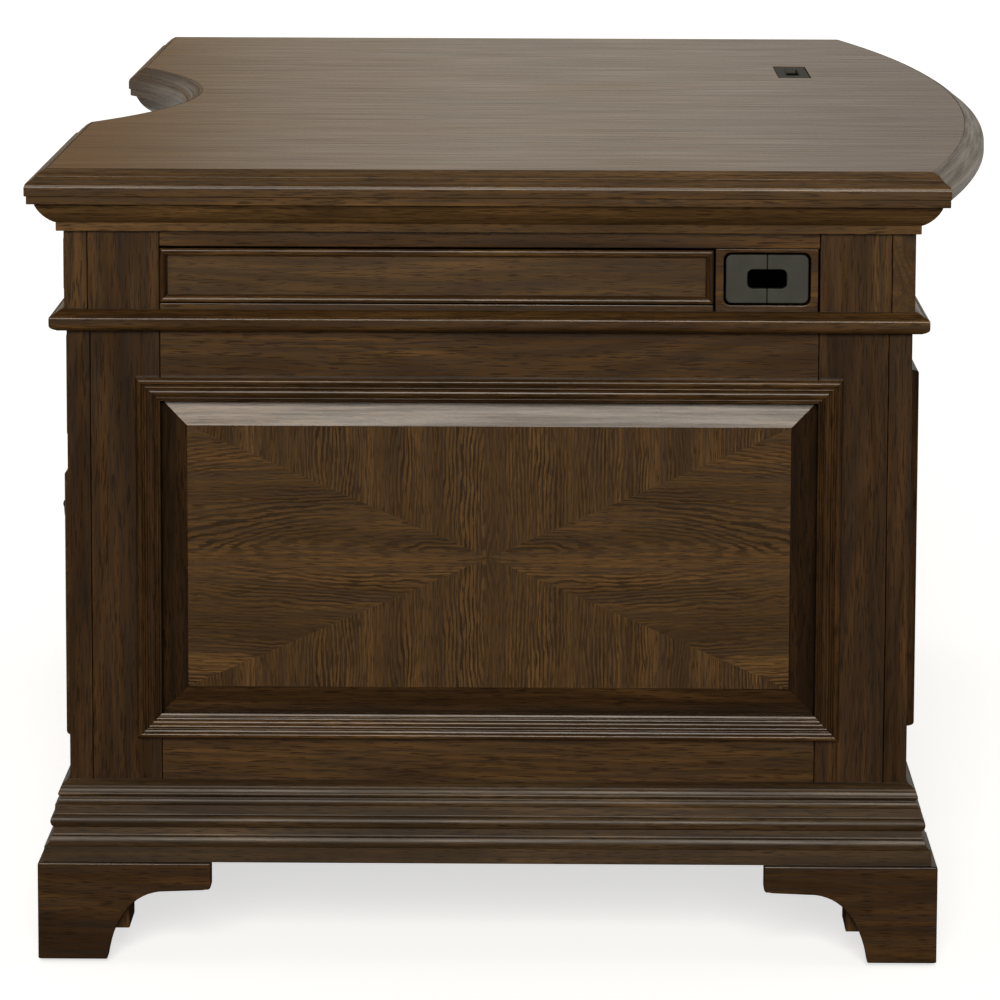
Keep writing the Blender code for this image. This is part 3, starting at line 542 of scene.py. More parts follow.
def panel_frame(prefix, flat, reach, window):
    """A frame round one panel. reach and window are where it and its panel begin and end."""
    (_, _, low), (_, _, high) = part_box(f"{prefix}_frame")
    rails = [("bottom_rail", low, WINDOW_LOW), ("top_rail", WINDOW_HIGH, high)]
    stiles = ((reach[0], window[0]), (window[1], reach[1]))
    frame_side(prefix, flat, stiles, rails, low, high, f"{prefix}_frame")


def visitor_frame(prefix):
    (x0, _, _), (x1, y1, _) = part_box(f"{prefix}_frame")
    panel_low, panel_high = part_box(f"{prefix}_panel")
    panel_frame(prefix, on_visitor(y1), (x0, x1), (panel_low[0], panel_high[0]))


for side, word in SIDES:
    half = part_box(f"{word}_end_frame")[1][1] - MIDDLE
    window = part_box(f"{word}_end_panel")[1][1] - MIDDLE
    flat = on_end(side, outer_face(f"{word}_end_frame"))
    panel_frame(f"{word}_end", flat, (-half, half), (-window, window))
    visitor_frame(f"{word}_visitor")
    face_node = f"{word}_face_frame"
    (x0, y0, low), (x1, _, high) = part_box(face_node)
    file_low, file_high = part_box(f"{word}_file_drawer_front")
    box_low, box_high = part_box(f"{word}_box_drawer_front")
    rails = [
        ("bottom_rail", low, file_low[2] - FRONT_CLEAR),
        ("middle_rail", file_high[2] + FRONT_CLEAR, box_low[2] - FRONT_CLEAR),
        ("top_rail", box_high[2] + FRONT_CLEAR, high),
    ]
    stiles = ((x0, file_low[0] - FRONT_CLEAR), (file_high[0] + FRONT_CLEAR, x1))
    frame_side(f"{word}_face", on_sitter(y0), stiles, rails, low, high, face_node)
visitor_frame("modesty")


# ---- Raised panels -------------------------------------------------------------------------
# The panels in the two ends, in the visitor's side of each pedestal and between the pedestals:
# a solid oak border, bevelled and mitred, round a field of four veneers matched to a cross.
BEVEL_WIDE = 0.0247
EDGE_DEEP, FIELD_DEEP, BACK_DEEP = 0.0135, 0.008, 0.031
panel_veneer = oak(
    "panel_veneer", (0.104, 0.0540, 0.0178), (0.048, 0.0242, 0.0078), 0.92, 0.58, loops=0.0036
)
frieze_oak = oak("frieze_oak", (0.118, 0.0660, 0.0270), (0.052, 0.0285, 0.0118), 0.30, 0.62)
edge_oak = oak("edge_oak", (0.128, 0.0690, 0.0240), (0.052, 0.0262, 0.0090), 0.25, 0.50)
BORDER_SECTION = [
    (0, -BACK_DEEP), (0, -EDGE_DEEP), (BEVEL_WIDE, -FIELD_DEEP), (BEVEL_WIDE, -BACK_DEEP)
]
# Stains for the bottom, right, top and left lengths. The darker copies on the side lengths and on a border's
# bottom bevel are painted shade, where the top length keeps the case oak.
SHADED_SIDE_WOODS = (case_oak, dark_oak, case_oak, dark_oak)
SHADED_BORDER_WOODS = (dark_oak, border_oak, case_oak, border_oak)


def around_window(prefix, flat, area, points, node_name, woods=SHADED_SIDE_WOODS):
    """Four mitred lengths round a rectangle (low_u, high_u, low_v, high_v) on a flat face."""
    u0, u1, v0, v1 = area
    spots = [(u0, v0), (u1, v0), (u1, v1), (u0, v1)]
    inward = [(0, 1), (-1, 0), (0, -1), (1, 0)]
    origin = Vector(flat(0, 0, 0))

    def way(u, v, out=0):
        return Vector(flat(u, v, out)) - origin

    along = ("Y" if way(1, 0).y else "X", "Z") * 2
    for number, word in enumerate(("bottom", "right", "top", "left")):
        begin, end = spots[number], spots[(number + 1) % 4]
        lines = [way(1 if u == u0 else -1, 1 if v == v0 else -1) for u, v in (begin, end)]
        begin, end = flat(*begin, 0), flat(*end, 0)
        piece = length_of(points, begin, end, way(*inward[number]), way(0, 0, 1), lines)
        # the darker copies that woods gives some lengths are painted shade
        timber(piece, f"{prefix}_{word}", along[number], node_name, wood=woods[number])


def on_faces(piece, out, *steps):
    """Runs edit mode operators on the faces that look one way, one after another."""
    take(piece)
    bpy.ops.object.mode_set(mode="EDIT")
    bpy.ops.mesh.select_mode(type="FACE")
    bpy.ops.mesh.select_all(action="DESELECT")
    bpy.ops.object.mode_set(mode="OBJECT")
    for flap in piece.data.polygons:
        flap.select = flap.normal.dot(Vector(out)) > 0.85
    bpy.ops.object.mode_set(mode="EDIT")
    for operator, settings in steps:
        getattr(bpy.ops.mesh, operator)(**settings)
    bpy.ops.object.mode_set(mode="OBJECT")


def cross_veneer(name, flat, area, node_name):
    """The field: a sheet cut into four triangles, each with its grain running to the middle."""
    u0, u1, v0, v1 = area
    corners = [(u0, v0), (u1, v0), (u1, v1), (u0, v1)]
    piece = section(corners, lambda u, v: flat(u, v, -BACK_DEEP))
    origin = Vector(flat(0, 0, 0))
    out, right = Vector(flat(0, 0, 1)) - origin, Vector(flat(1, 0, 0)) - origin
    drawn_out(piece, out * (BACK_DEEP - FIELD_DEEP + 0.0001))
    on_faces(piece, out, ("poke", {}))
    middle = Vector(flat((u0 + u1) / 2, (v0 + v1) / 2, 0))
    grain = piece.data.attributes.new("grain", "FLOAT_VECTOR", "CORNER")
    for flap in piece.data.polygons:
        heart = flap.center - middle
        upright = abs(heart.z) / (v1 - v0) > abs(heart.dot(right)) / (u1 - u0)
        for corner in flap.loop_indices:
            spot = piece.data.vertices[piece.data.loops[corner].vertex_index].co - middle
            if upright:
                grain.data[corner].vector = (abs(spot.z) - 0.055, spot.dot(right) + 0.004, 0.0)
            else:
                grain.data[corner].vector = (abs(spot.dot(right)) - 0.050, spot.z - 0.006, 5.0)
    smooth(piece)
    fit(piece, name, panel_veneer, "oak_veneer", "carcass", node_name)


def panel_area(prefix):
    """Where a panel lies on its own wall: (low_u, high_u, low_v, high_v)."""
    low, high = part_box(f"{prefix}_panel")
    if prefix.endswith(("end", "frieze")):
        return low[1] - MIDDLE, high[1] - MIDDLE, low[2], high[2]
    return low[0], high[0], low[2], high[2]


def shrunk(area, by):
    u0, u1, v0, v1 = area
    return u0 + by, u1 - by, v0 + by, v1 - by


# ---- Panel mouldings -----------------------------------------------------------------------
# The stepped moulding glued over the joint between frame and panel: a fat outer bead, a quirk,
# a small bead, a flattened torus and an inner lip. Mitred at the corners, with glaze and painted shade
# darkening its quirks.
MOULDING_SECTION = arcs(
    (0, 0.3), (0, 5.2), (0.9, 9.6, -0.08), (5.9, 10.6, -0.62), (6.5, 8.3, 0.1), (7.9, 7.8),
    (8.3, 8.6, -0.1), (10.4, 8.6, -0.7), (10.9, 6.6), (12.6, 6.2, 0.15), (13.0, 6.8),
    (17.3, 6.0, -0.32), (17.7, 4.2), (19.0, 3.8, 0.1), (19.3, 4.4), (20.8, 4.4, -0.6), (21.2, 2.4),
    (22.9, 2.0), (22.9, 0.3), steps=5,
)
MOULDING_WIDE = 0.023
walls = []
for side, word in SIDES:
    walls.append((f"{word}_end", on_end(side, outer_face(f"{word}_end_frame"))))
    walls.append((f"{word}_visitor", on_visitor(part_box(f"{word}_visitor_frame")[1][1])))
walls.append(("modesty", on_visitor(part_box("modesty_frame")[1][1])))
for prefix, flat in walls:
    area, node_name = panel_area(prefix), f"{prefix}_panel"
    around_window(f"{node_name}_border", flat, area, BORDER_SECTION, node_name, SHADED_BORDER_WOODS)
    cross_veneer(f"{node_name}_veneer", flat, shrunk(area, BEVEL_WIDE + 0.0002), node_name)
    wider, node_name = shrunk(area, -MOULDING_WIDE), f"{prefix}_panel_molding"
    around_window(node_name, flat, wider, MOULDING_SECTION, node_name)


# ---- Apron ---------------------------------------------------------------------------------
# The band of boards between the belt and the cornice. On each end a rail and two stiles frame
# a shallow frieze panel with a bead round it, and a small board that holds the cable outlet.
APRON_THICK = 0.022
HOLE_CLEAR = 0.002
for side, word in SIDES:
    apron_node = f"{word}_apron_end"
    low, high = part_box(apron_node)
    face = outer_face(apron_node)
    flat = on_end(side, face)
    panel_low, panel_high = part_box(f"{word}_frieze_panel")
    half, panel_begin, panel_end = [y - MIDDLE for y in (high[1], panel_low[1], panel_high[1])]
    rail_low, rail_top = panel_low[2] - 0.0009, panel_high[2] + 0.0016
    stiles = ((low[1] - MIDDLE, panel_begin), (-panel_begin, half))
    rails = [("top_rail", rail_top, high[2])]
    frame_side(f"{word}_apron", flat, stiles, rails, low[2], high[2], apron_node)
    corners = flat(panel_begin + JOINT, low[2], -APRON_THICK), flat(panel_end - JOINT, rail_low, 0)
    board(f"{word}_apron_bottom_rail", *corners, "Y", apron_node)
    piece = block(
        flat(panel_end + 0.0015, low[2] + 0.0004, -APRON_THICK),
        flat(-panel_begin - 0.0015, rail_top - 0.0004, 0),
    )
    (_, y0, z0), (_, y1, z1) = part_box(f"{word}_cable_outlet")
    hole = shrunk((y0 - MIDDLE, y1 - MIDDLE, z0, z1), -HOLE_CLEAR)
    cutter = block(flat(hole[0], hole[2], -2 * APRON_THICK), flat(hole[1], hole[3], 2 * APRON_THICK))
    worked(cutter, "BEVEL", width=0.0065, segments=5, limit_method="NONE")
    sawn_out(piece, cutter)
    eased(piece, 0.0009)
    timber(piece, f"{word}_outlet_board", "Y", apron_node)

# the long board on the visitor's side, whose ends make the corner strips
board("visitor_apron_board", *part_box("visitor_apron"), "X", "visitor_apron")


# ---- Sitter's apron and the knee curve -----------------------------------------------------
# On the sitter's side the apron runs straight over each pedestal and bends in a shallow arc
# over the knees: sawn stiles and thin rails, left open for the three shallow drawers.
TOP_LOW, TOP_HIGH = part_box("desktop_edge_molding")
LONG = TOP_HIGH[0]
FRONT, BACK = TOP_LOW[1], 2 * MIDDLE - TOP_LOW[1]
EDGE_WIDE = 0.020
KNEE_LAP, KNEE_RISE = 0.003, 0.088
knee_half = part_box("right_visitor_frame")[0][0] - KNEE_LAP
knee_radius = (knee_half**2 + KNEE_RISE**2) / (2 * KNEE_RISE)
KNEE_CENTRE = Vector((0, FRONT + EDGE_WIDE + KNEE_RISE - knee_radius, 0))


def knee_corner(inset):
    """Where the knee curve meets the straight front edge, that far in from the top's outline."""
    radius = knee_radius + inset - EDGE_WIDE
    return math.sqrt(radius**2 - (FRONT + inset - KNEE_CENTRE.y) ** 2)


def knee_y(x, inset):
    radius = knee_radius + inset - EDGE_WIDE
    return KNEE_CENTRE.y + math.sqrt(radius**2 - x**2)


def moulded_rim(piece, steps):
    """Works a moulding round the face that looks to the sitter: each step goes (inward, outward)."""
    even = {"use_even_offset": True, "use_boundary": True}
    insets = [("inset", {"thickness": inward, "depth": outward, **even}) for inward, outward in steps]
    on_faces(piece, (0, -1, 0), *insets)
    edit(piece)


def knee_board(name, xs, inset, thick, zs, along, node_name, steps=28, ease=0.0010, rim=None, **how):
    """A board bent to the knee curve, between two places along it."""
    outside = [(xs[0] + (xs[1] - xs[0]) * n / steps, inset) for n in range(steps + 1)]
    inside = [(x, inset + thick) for x, _ in reversed(outside)]
    outline = [(x, knee_y(x, deep)) for x, deep in outside + inside]
    piece = section(outline, lambda u, v: (u, v, zs[0]))
    drawn_out(piece, (0, 0, zs[1] - zs[0]))
    if rim:
        moulded_rim(piece, rim)
    eased(piece, ease)
    return timber(piece, name, along, node_name, bend=KNEE_CENTRE if along == "X" else None, **how)


low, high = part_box("sitter_apron")
APRON_INSET = low[1] - FRONT
slot_low, slot_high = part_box("right_frieze_drawer_front")
slot_begin, slot_end = slot_low[0] - FRONT_CLEAR, slot_high[0] + FRONT_CLEAR
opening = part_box("center_drawer_front")[1][0] + FRONT_CLEAR
bend_x = knee_corner(APRON_INSET)
whole = (low[2], high[2])
rails = (
    ("bottom_rail", (low[2], slot_low[2] - FRONT_CLEAR)),
    ("top_rail", (slot_high[2] + FRONT_CLEAR, high[2])),
)


def apron_board(name, x0, x1, zs, along):
    y = FRONT + APRON_INSET
    board(name, (x0, y, zs[0]), (x1, y + APRON_THICK, zs[1]), along, "sitter_apron")


def apron_curve(name, x0, x1, zs, along, **how):
    xs = sorted((x0, x1))
    knee_board(name, xs, APRON_INSET, APRON_THICK, zs, along, "sitter_apron", **how)


for side, word in SIDES:
    apron_curve(f"{word}_knee_stile_arc", side * opening, side * bend_x, whole, "Z", steps=4)
    apron_board(f"{word}_knee_stile", side * bend_x, side * slot_begin, whole, "Z")
    apron_board(f"{word}_apron_post", side * slot_end, side * high[0], whole, "Z")
    for name, zs in rails:
        ends = side * (slot_begin + JOINT), side * (slot_end - JOINT)
        apron_board(f"{word}_frieze_{name}", *ends, zs, "X")
for name, zs in rails:
    apron_curve(f"knee_{name}", JOINT - opening, opening - JOINT, zs, "X")


# ---- Frieze panels -------------------------------------------------------------------------
# A flat oak panel let into each end of the apron, with a half-round bead glued round its edge.
BEAD_SECTION = arcs(
    (0.2, -6), (0.2, 0.6), (0.9, 2.4, -0.2), (4.2, 2.7, -0.30), (6.4, 0.6, -0.25), (6.9, -1.2),
    (7.6, -1.8, 0.1), (7.8, -3.4), (7.8, -6), steps=5,
)
for side, word in SIDES:
    flat = on_end(side, outer_face(f"{word}_apron_end"))
    area, node_name = panel_area(f"{word}_frieze"), f"{word}_frieze_panel"
    around_window(f"{word}_frieze_bead", flat, area, BEAD_SECTION, node_name)
    u0, u1, v0, v1 = shrunk(area, 0.004)
    corners = flat(u0, v0, -0.014), flat(u1, v1, -0.0034)
    board(f"{word}_frieze_board", *corners, "Y", node_name, wood=frieze_oak)


# ---- Belt, cornice and edge mouldings ------------------------------------------------------
# Three mouldings follow the plan of the top: a nosed belt under the apron, a swelling cornice
# over it, and the edge of the top itself, with a hollow, a fillet and a thick rounded lip.
BOW = TOP_HIGH[1] - BACK
bow_chord = LONG - EDGE_WIDE
bow_radius = (bow_chord**2 + BOW**2) / (2 * BOW)
BOW_CENTRE = Vector((0, BACK - EDGE_WIDE + BOW - bow_radius, 0))


def plan_corners(inset, bowed, set_back=0.0):
    """The plan's six corners, that far in, anticlockwise from the sitter's right."""
    x = LONG - inset
    front = FRONT + inset
    back = BACK - set_back - inset
    if bowed:
        back = BOW_CENTRE.y + math.sqrt((bow_radius + EDGE_WIDE - inset) ** 2 - x**2)
    knee = knee_corner(inset)
    return [(x, front), (x, back), (-x, back), (-x, front), (-knee, front), (knee, front)]


KNEE_STEPS, BOW_STEPS = 48, 72
RUNS = ("right_end", "visitor", "left_end", "left_arm", "knee", "right_arm")
INWARD = ((-1, 0, 0), (0, -1, 0), (1, 0, 0), (0, 1, 0), (0, 1, 0), (0, 1, 0))


def follow_plan(name, node_name, points, height, inset=0.0, bowed=False, set_back=0.0, **how):
    """Six lengths of moulding round the plan. points are (inward, up) from the outline."""
    outer, deeper = plan_corners(inset, bowed, set_back), plan_corners(inset + 0.01, bowed, set_back)
    lines = [(b[0] - a[0], b[1] - a[1], 0) for a, b in zip(outer, deeper)]
    for number, run in enumerate(RUNS):
        after = (number + 1) % 6
        begin, end = (*outer[number], height), (*outer[after], height)
        centre = {"knee": KNEE_CENTRE, "visitor": BOW_CENTRE if bowed else None}.get(run)
        bend = None if centre is None else centre + Vector((0, 0, height))
        mitres = lines[number], lines[after]
        steps = BOW_STEPS if bowed else KNEE_STEPS
        piece = length_of(points, begin, end, INWARD[number], (0, 0, 1), mitres, bend, steps)
        along = "Y" if run.endswith("end") else "X"
        timber(piece, f"{name}_{run}", along, node_name, bend=bend, **how)


BELT_SECTION = arcs(
    (13.9, 0), (13.9, 20.5), (12.2, 20.3), (6.4, 17.2, 0.10), (4.4, 15.4), (1.4, 14.2, 0.30),
    (0, 11.2, 0.28), (0, 6.2), (2.4, 2.2, 0.32), (6.0, 0.6, 0.1), (7.0, 0),
)
belt_low, belt_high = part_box("belt_molding")
follow_plan("belt_molding", "belt_molding", BELT_SECTION, belt_low[2], LONG - belt_high[0])

CORNICE_SECTION = arcs(
    (56, -35), (56, -0.3), (2.0, -0.3), (2.0, -6.6), (2.6, -7.6, 0.3), (9.0, -8.2), (9.2, -9.6, 0.2),
    (25.6, -26.2, 0.16), (27.2, -26.6), (27.4, -27.2), (27.4, -34.2), (28.0, -35, 0.3),
)
CORNICE_BACK = 0.002
CORNICE = "cornice_molding"
cornice_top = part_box(CORNICE)[1][2] + 0.0003
follow_plan(CORNICE, CORNICE, CORNICE_SECTION, cornice_top, set_back=CORNICE_BACK, wood=edge_oak)

EDGE_SECTION = arcs(
    (20, -25), (20, 0), (19.2, 0), (18.0, -0.9, 0.1), (10.9, -6.0, 0.13), (9.9, -6.4), (9.6, -7.3, 0.3),
    (9.3, -7.6), (3.6, -11.6, -0.12), (0.5, -15.2, 0.28), (0, -17.2, 0.1), (0, -24.2), (0.8, -25, 0.3),
)
follow_plan("desktop_edge", "desktop_edge_molding", EDGE_SECTION, TOP_HIGH[2], bowed=True, wood=edge_oak)


# ---- Top -----------------------------------------------------------------------------------
# An oak-veneered board inside its edge moulding, rubbed to a satin polish, with its grain running
# from the sitter to the visitor. One slot is cut for the cable outlet over the left pedestal.
def plan_outline(inset, bowed, set_back=0.0, knee_steps=40, bow_steps=64):
    """The whole plan as one outline, with its two curves."""
    corners = plan_corners(inset, bowed, set_back)
    outline = corners[:2]
    if bowed:
        radius = bow_radius + EDGE_WIDE - inset
        xs = [corners[1][0] * (1 - 2 * n / bow_steps) for n in range(1, bow_steps)]
        outline += [(x, BOW_CENTRE.y + math.sqrt(radius**2 - x**2)) for x in xs]
    outline += corners[2:5]
    xs = [corners[5][0] * (2 * n / knee_steps - 1) for n in range(1, knee_steps)]
    return outline + [(x, knee_y(x, inset)) for x in xs] + corners[5:]


# paler than the case oak: partly the top veneer's own tone, partly painted light standing in for the light
# that falls on the top
top_oak = oak(
    "top_oak", (0.196, 0.100, 0.0290), (0.128, 0.0620, 0.0170), 0.08, 0.12, roughness=0.26, pored=0.22
)
low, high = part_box("desktop_panel")
piece = section(plan_outline(EDGE_WIDE + 0.0002, True), lambda u, v: (u, v, low[2]))
drawn_out(piece, (0, 0, high[2] - low[2]))
outlet_low, outlet_high = [Vector(corner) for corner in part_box("top_cable_outlet")]
room_round = Vector((0.0007, 0.0007, 0.1))
sawn_out(piece, block(outlet_low - room_round, outlet_high + room_round))
eased(piece, 0.0005)
timber(piece, "desktop_veneer", "Y", "desktop_panel", wood=top_oak, slot="oak_veneer")


# ---- Inner case boards ---------------------------------------------------------------------
# Plain oak-faced boards that hold the case together: the sub-top that the top screws to, a floor
# in each pedestal, the sides next to the knees, and the cleats that the feet screw up into.
low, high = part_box("subtop_panel")
inset = LONG - high[0]
piece = section(plan_outline(inset, False, BACK - inset - high[1]), lambda u, v: (u, v, low[2]))
drawn_out(piece, (0, 0, high[2] - low[2]))
eased(piece, 0.0006)
timber(piece, "subtop_board", "X", "subtop_panel")
for side, word in SIDES:
    board(f"{word}_pedestal_floor", *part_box(f"{word}_bottom_board"), "Y", f"{word}_bottom_board")
    board(f"{word}_inner_side_board", *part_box(f"{word}_inner_side"), "Z", f"{word}_inner_side")
    low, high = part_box(f"{word}_base_molding")
    edge = BASE_OUT + 0.001
    x0, x1, y0, y1 = low[0] + edge, high[0] - edge, low[1] + edge, high[1] - edge
    z0, z1, wide = FOOT_TOP + 0.0006, FOOT_TOP + 0.0135, 0.060
    y2, y3 = y0 + wide + 0.0003, y1 - wide - 0.0003
    for name, a, b, along in (
        ("sitter_cleat", (x0, y0), (x1, y0 + wide), "X"),
        ("visitor_cleat", (x0, y1 - wide), (x1, y1), "X"),
        ("left_cleat", (x0, y2), (x0 + wide, y3), "Y"),
        ("right_cleat", (x1 - wide, y2), (x1, y3), "Y"),
    ):
        board(f"{word}_foot_{name}", (*a, z0), (*b, z1), along, f"{word}_foot_frame")


# ---- Cable outlets -------------------------------------------------------------------------
# Moulded plastic plates, each in two halves with a slot left between them for cables: one set
# in each end of the apron, and a longer one in the top with a dark brush under its slot.
plastic_tones = (0.3, (0.019, 0.020, 0.015)), (0.7, (0.027, 0.028, 0.021))
plastic = mottled(
    "outlet_plastic", (60, 60, 60), 2.0, plastic_tones, 0.50, ("Specular IOR Level", 0.25)
)
plastic_tree = plastic.node_tree
spot = node(plastic_tree, "TexCoord").outputs["Object"]
stipple = node(plastic_tree, "TexNoise", [("Vector", spot), ("Scale", 2600.0), ("Detail", 1.0)])
height = [("Height", stipple.outputs["Fac"]), ("Strength", 0.12), ("Distance", 0.0002)]
stippled = node(plastic_tree, "Bump", height)
plastic_tree.links.new(stippled.outputs["Normal"], plastic_tree.nodes["Principled BSDF"].inputs["Normal"])
bristle_tones = (0.35, (0.002, 0.002, 0.002)), (0.65, (0.012, 0.012, 0.012))
bristle = mottled(
    "outlet_brush", (2200, 60, 60), 1.0, bristle_tones, 0.9, ("Specular IOR Level", 0.05)
)


def outlet_half(name, place, plate, slot, thick, node_name):
    """Half a plate with its half of the slot. plate and slot are (length, height, corner radius)."""
    a, b, r = plate[0] / 2, plate[1] / 2, plate[2]
    c, d, q = slot[0] / 2, slot[1] / 2, slot[2]
    split = 0.00015
    outline = arcs(
        (-split, b), (r - a, b), (-a, b - r, 0.414), (-a, r - b), (r - a, -b, 0.414), (-split, -b),
        (-split, -d), (q - c, -d), (-c, q - d, -0.414), (-c, d - q), (q - c, d, -0.414), (-split, d), unit=1,
    )
    piece = section(outline, lambda u, v: place(u, v, -thick))
    out = Vector(place(0, 0, 1)) - Vector(place(0, 0, 0))
    drawn_out(piece, out * thick)
    eased(piece, 0.0009, 3)
    smooth(piece)
    return fit(piece, name, plastic, "outlet_plastic", "carcass", node_name)


for side, word in SIDES:
    node_name = f"{word}_cable_outlet"
    low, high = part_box(node_name)
    face, y, z = outer_face(node_name), (low[1] + high[1]) / 2, (low[2] + high[2]) / 2
    plate, slot = (high[1] - low[1], high[2] - low[2], 0.0058), (0.037, 0.018, 0.0050)
    for turn, half in ((1, "sitter"), (-1, "visitor")):
        place = lambda u, v, out: (side * (face + out), y + turn * u, z + v)
        outlet_half(f"{node_name}_{half}_half", place, plate, slot, 0.0074, node_name)
node_name = "top_cable_outlet"
low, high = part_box(node_name)
x, y = (low[0] + high[0]) / 2, (low[1] + high[1]) / 2
plate, slot = (high[0] - low[0], high[1] - low[1], 0.003), (0.092, 0.015, 0.002)
for turn, half in ((1, "left"), (-1, "right")):
    place = lambda u, v, out: (x + turn * u, y + v, high[2] + out)
    outlet_half(f"{node_name}_{half}_half", place, plate, slot, 0.0050, node_name)
for turn, row in ((-1, "sitter"), (1, "visitor")):
    near, far = y + turn * 0.0006, y + turn * 0.0165
    piece = block((x - 0.052, near, low[2] + 0.0002), (x + 0.052, far, low[2] + 0.0022))
    eased(piece, 0.0004)
    smooth(piece)
    fit(piece, f"{node_name}_{row}_brush", bristle, "outlet_plastic", "carcass", node_name)


# ---- Drawers -------------------------------------------------------------------------------
# Seven drawers open to the sitter. Each front is veneered oak with a moulded rim; behind it is a
# pale hardwood box, its plywood floor in a groove, on a pair of steel slides.
DRAWER_PROUD, FRONT_THICK, WALL, FLOOR = 0.0045, 0.020, 0.012, 0.006
RIM = ((0.0022, 0.0), (0.0002, 0.0011), (0.0005, 0.0013), (0.0010, 0.0010), (0.0016, 0.0006))
RIM_HIGH = sum(rise for _, rise in RIM)
front_oak = oak("front_oak", (0.084, 0.0435, 0.0150), (0.050, 0.0250, 0.0082), 0.45, 0.45)
inside_wood = oak("inside_wood", (0.50, 0.34, 0.19), (0.42, 0.27, 0.145), 0.18, 0.16, 0.55)
steel_tones = (0.3, (0.46, 0.46, 0.47)), (0.7, (0.60, 0.60, 0.61))
steel_polish = (0.3, 0.26), (0.7, 0.38)
steel = mottled("slide_steel", (400, 6, 400), 2.0, steel_tones, steel_polish, ("Metallic", 1.0))


def drawer_piece(name, a, b, along, body, ease=0.0008):
    how = {"wood": inside_wood, "slot": "drawer_interior", "body": body}
    board(name, a, b, along, f"{body}_box", ease=ease, **how)


def channel(name, x, out, ys, z, size, body, node_name):
    """A rolled steel member: a web against x with two lips turned out. size is (tall, deep, lip)."""
    web = 0.0012
    half, deep, lip = size[0] / 2, size[1], size[2]
    outline = [
        (0, -half), (deep, -half), (deep, lip - half), (deep - web, lip - half), (deep - web, web - half),
        (web, web - half), (web, half - web), (deep - web, half - web), (deep - web, half - lip),
        (deep, half - lip), (deep, half), (0, half),
    ]
    piece = section(outline, lambda u, v: (x + out * u, ys[0], z + v))
    drawn_out(piece, (0, ys[1] - ys[0], 0))
    eased(piece, 0.0003, 1)
    smooth(piece)
    fit(piece, name, steel, "aged_bronze", body, node_name)


def slides(body, case_xs, box_xs, y0, y1, z, case_node):
    """A pair of slides: one member screwed to the case, and one to the drawer inside it."""
    for word, out, case_x, box_x in zip("ab", (1, -1), case_xs, box_xs):
        name = f"{body}_slide_{word}"
        case_size, box_size = (0.034, 0.0118, 0.0045), (0.022, 0.0098, 0.0040)
        channel(f"{name}_case", case_x + out * 0.0002, out, (y0, y1), z, case_size, "carcass", case_node)
        ys = (y0 + 0.004, y1)
        channel(f"{name}_drawer", box_x - out * 0.0001, -out, ys, z, box_size, body, f"{body}_box")


def straight_front(body):
    """A flat drawer front: square behind, with the moulded rim round its face."""
    low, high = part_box(f"{body}_front")
    corners = [(low[0], low[2]), (high[0], low[2]), (high[0], high[2]), (low[0], high[2])]
    piece = section(corners, lambda u, v: (u, low[1] + FRONT_THICK, v))
    drawn_out(piece, (0, RIM_HIGH - FRONT_THICK, 0))
    moulded_rim(piece, RIM)
    timber(piece, f"{body}_face", "X", f"{body}_front", wood=front_oak, slot="oak_veneer", body=body)


for side, word in SIDES:
    for kind in ("frieze", "box", "file"):
        body = f"{word}_{kind}_drawer"
        straight_front(body)
        (x0, y0, z0), (x1, y1, z1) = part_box(f"{body}_box")
        drawer_piece(f"{body}_left_side", (x0, y0, z0), (x0 + WALL, y1, z1), "Y", body)
        drawer_piece(f"{body}_right_side", (x1 - WALL, y0, z0), (x1, y1, z1), "Y", body)
        left, right = x0 + WALL + 0.0001, x1 - WALL - 0.0001
        drawer_piece(f"{body}_inner_front", (left, y0, z0), (right, y0 + WALL, z1), "X", body)
        drawer_piece(f"{body}_back", (left, y1 - WALL, z0), (right, y1, z1), "X", body)
        corners = (left, y0 + WALL + 0.0001, z0 + 0.0005), (right, y1 - WALL - 0.0001, z0 + FLOOR)
        drawer_piece(f"{body}_floor", *corners, "X", body, ease=0.0003)
        front_low, front_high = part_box(f"{body}_front")
        gap = (front_low[0] - FRONT_CLEAR, front_high[0] + FRONT_CLEAR)
        level = z0 + (0.022 if kind == "frieze" else 0.030)
        case_node = f"{word}_apron_end" if kind == "frieze" else f"{word}_face_frame"
        slides(body, gap, (x0, x1), y0 + 0.006, y1 - 0.010, level, case_node)
        near, far = gap if side > 0 else reversed(gap)
        inner_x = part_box(f"{word}_inner_side")[1 if side > 0 else 0][0] + side * 0.0001
        outer_x = outer_face(f"{word}_end_frame") - BACK_DEEP - 0.0002
        if kind == "frieze":
            outer_x = outer_face(f"{word}_apron_end") - APRON_THICK - 0.0002
        for name, a, b in (("inner", inner_x, near), ("outer", far, side * outer_x)):
            corners = (a, y0 + 0.010, level - 0.018), (b, y1 - 0.010, level + 0.018)
            board(f"{body}_{name}_slide_cleat", *corners, "Y", case_node, wood=inside_wood)

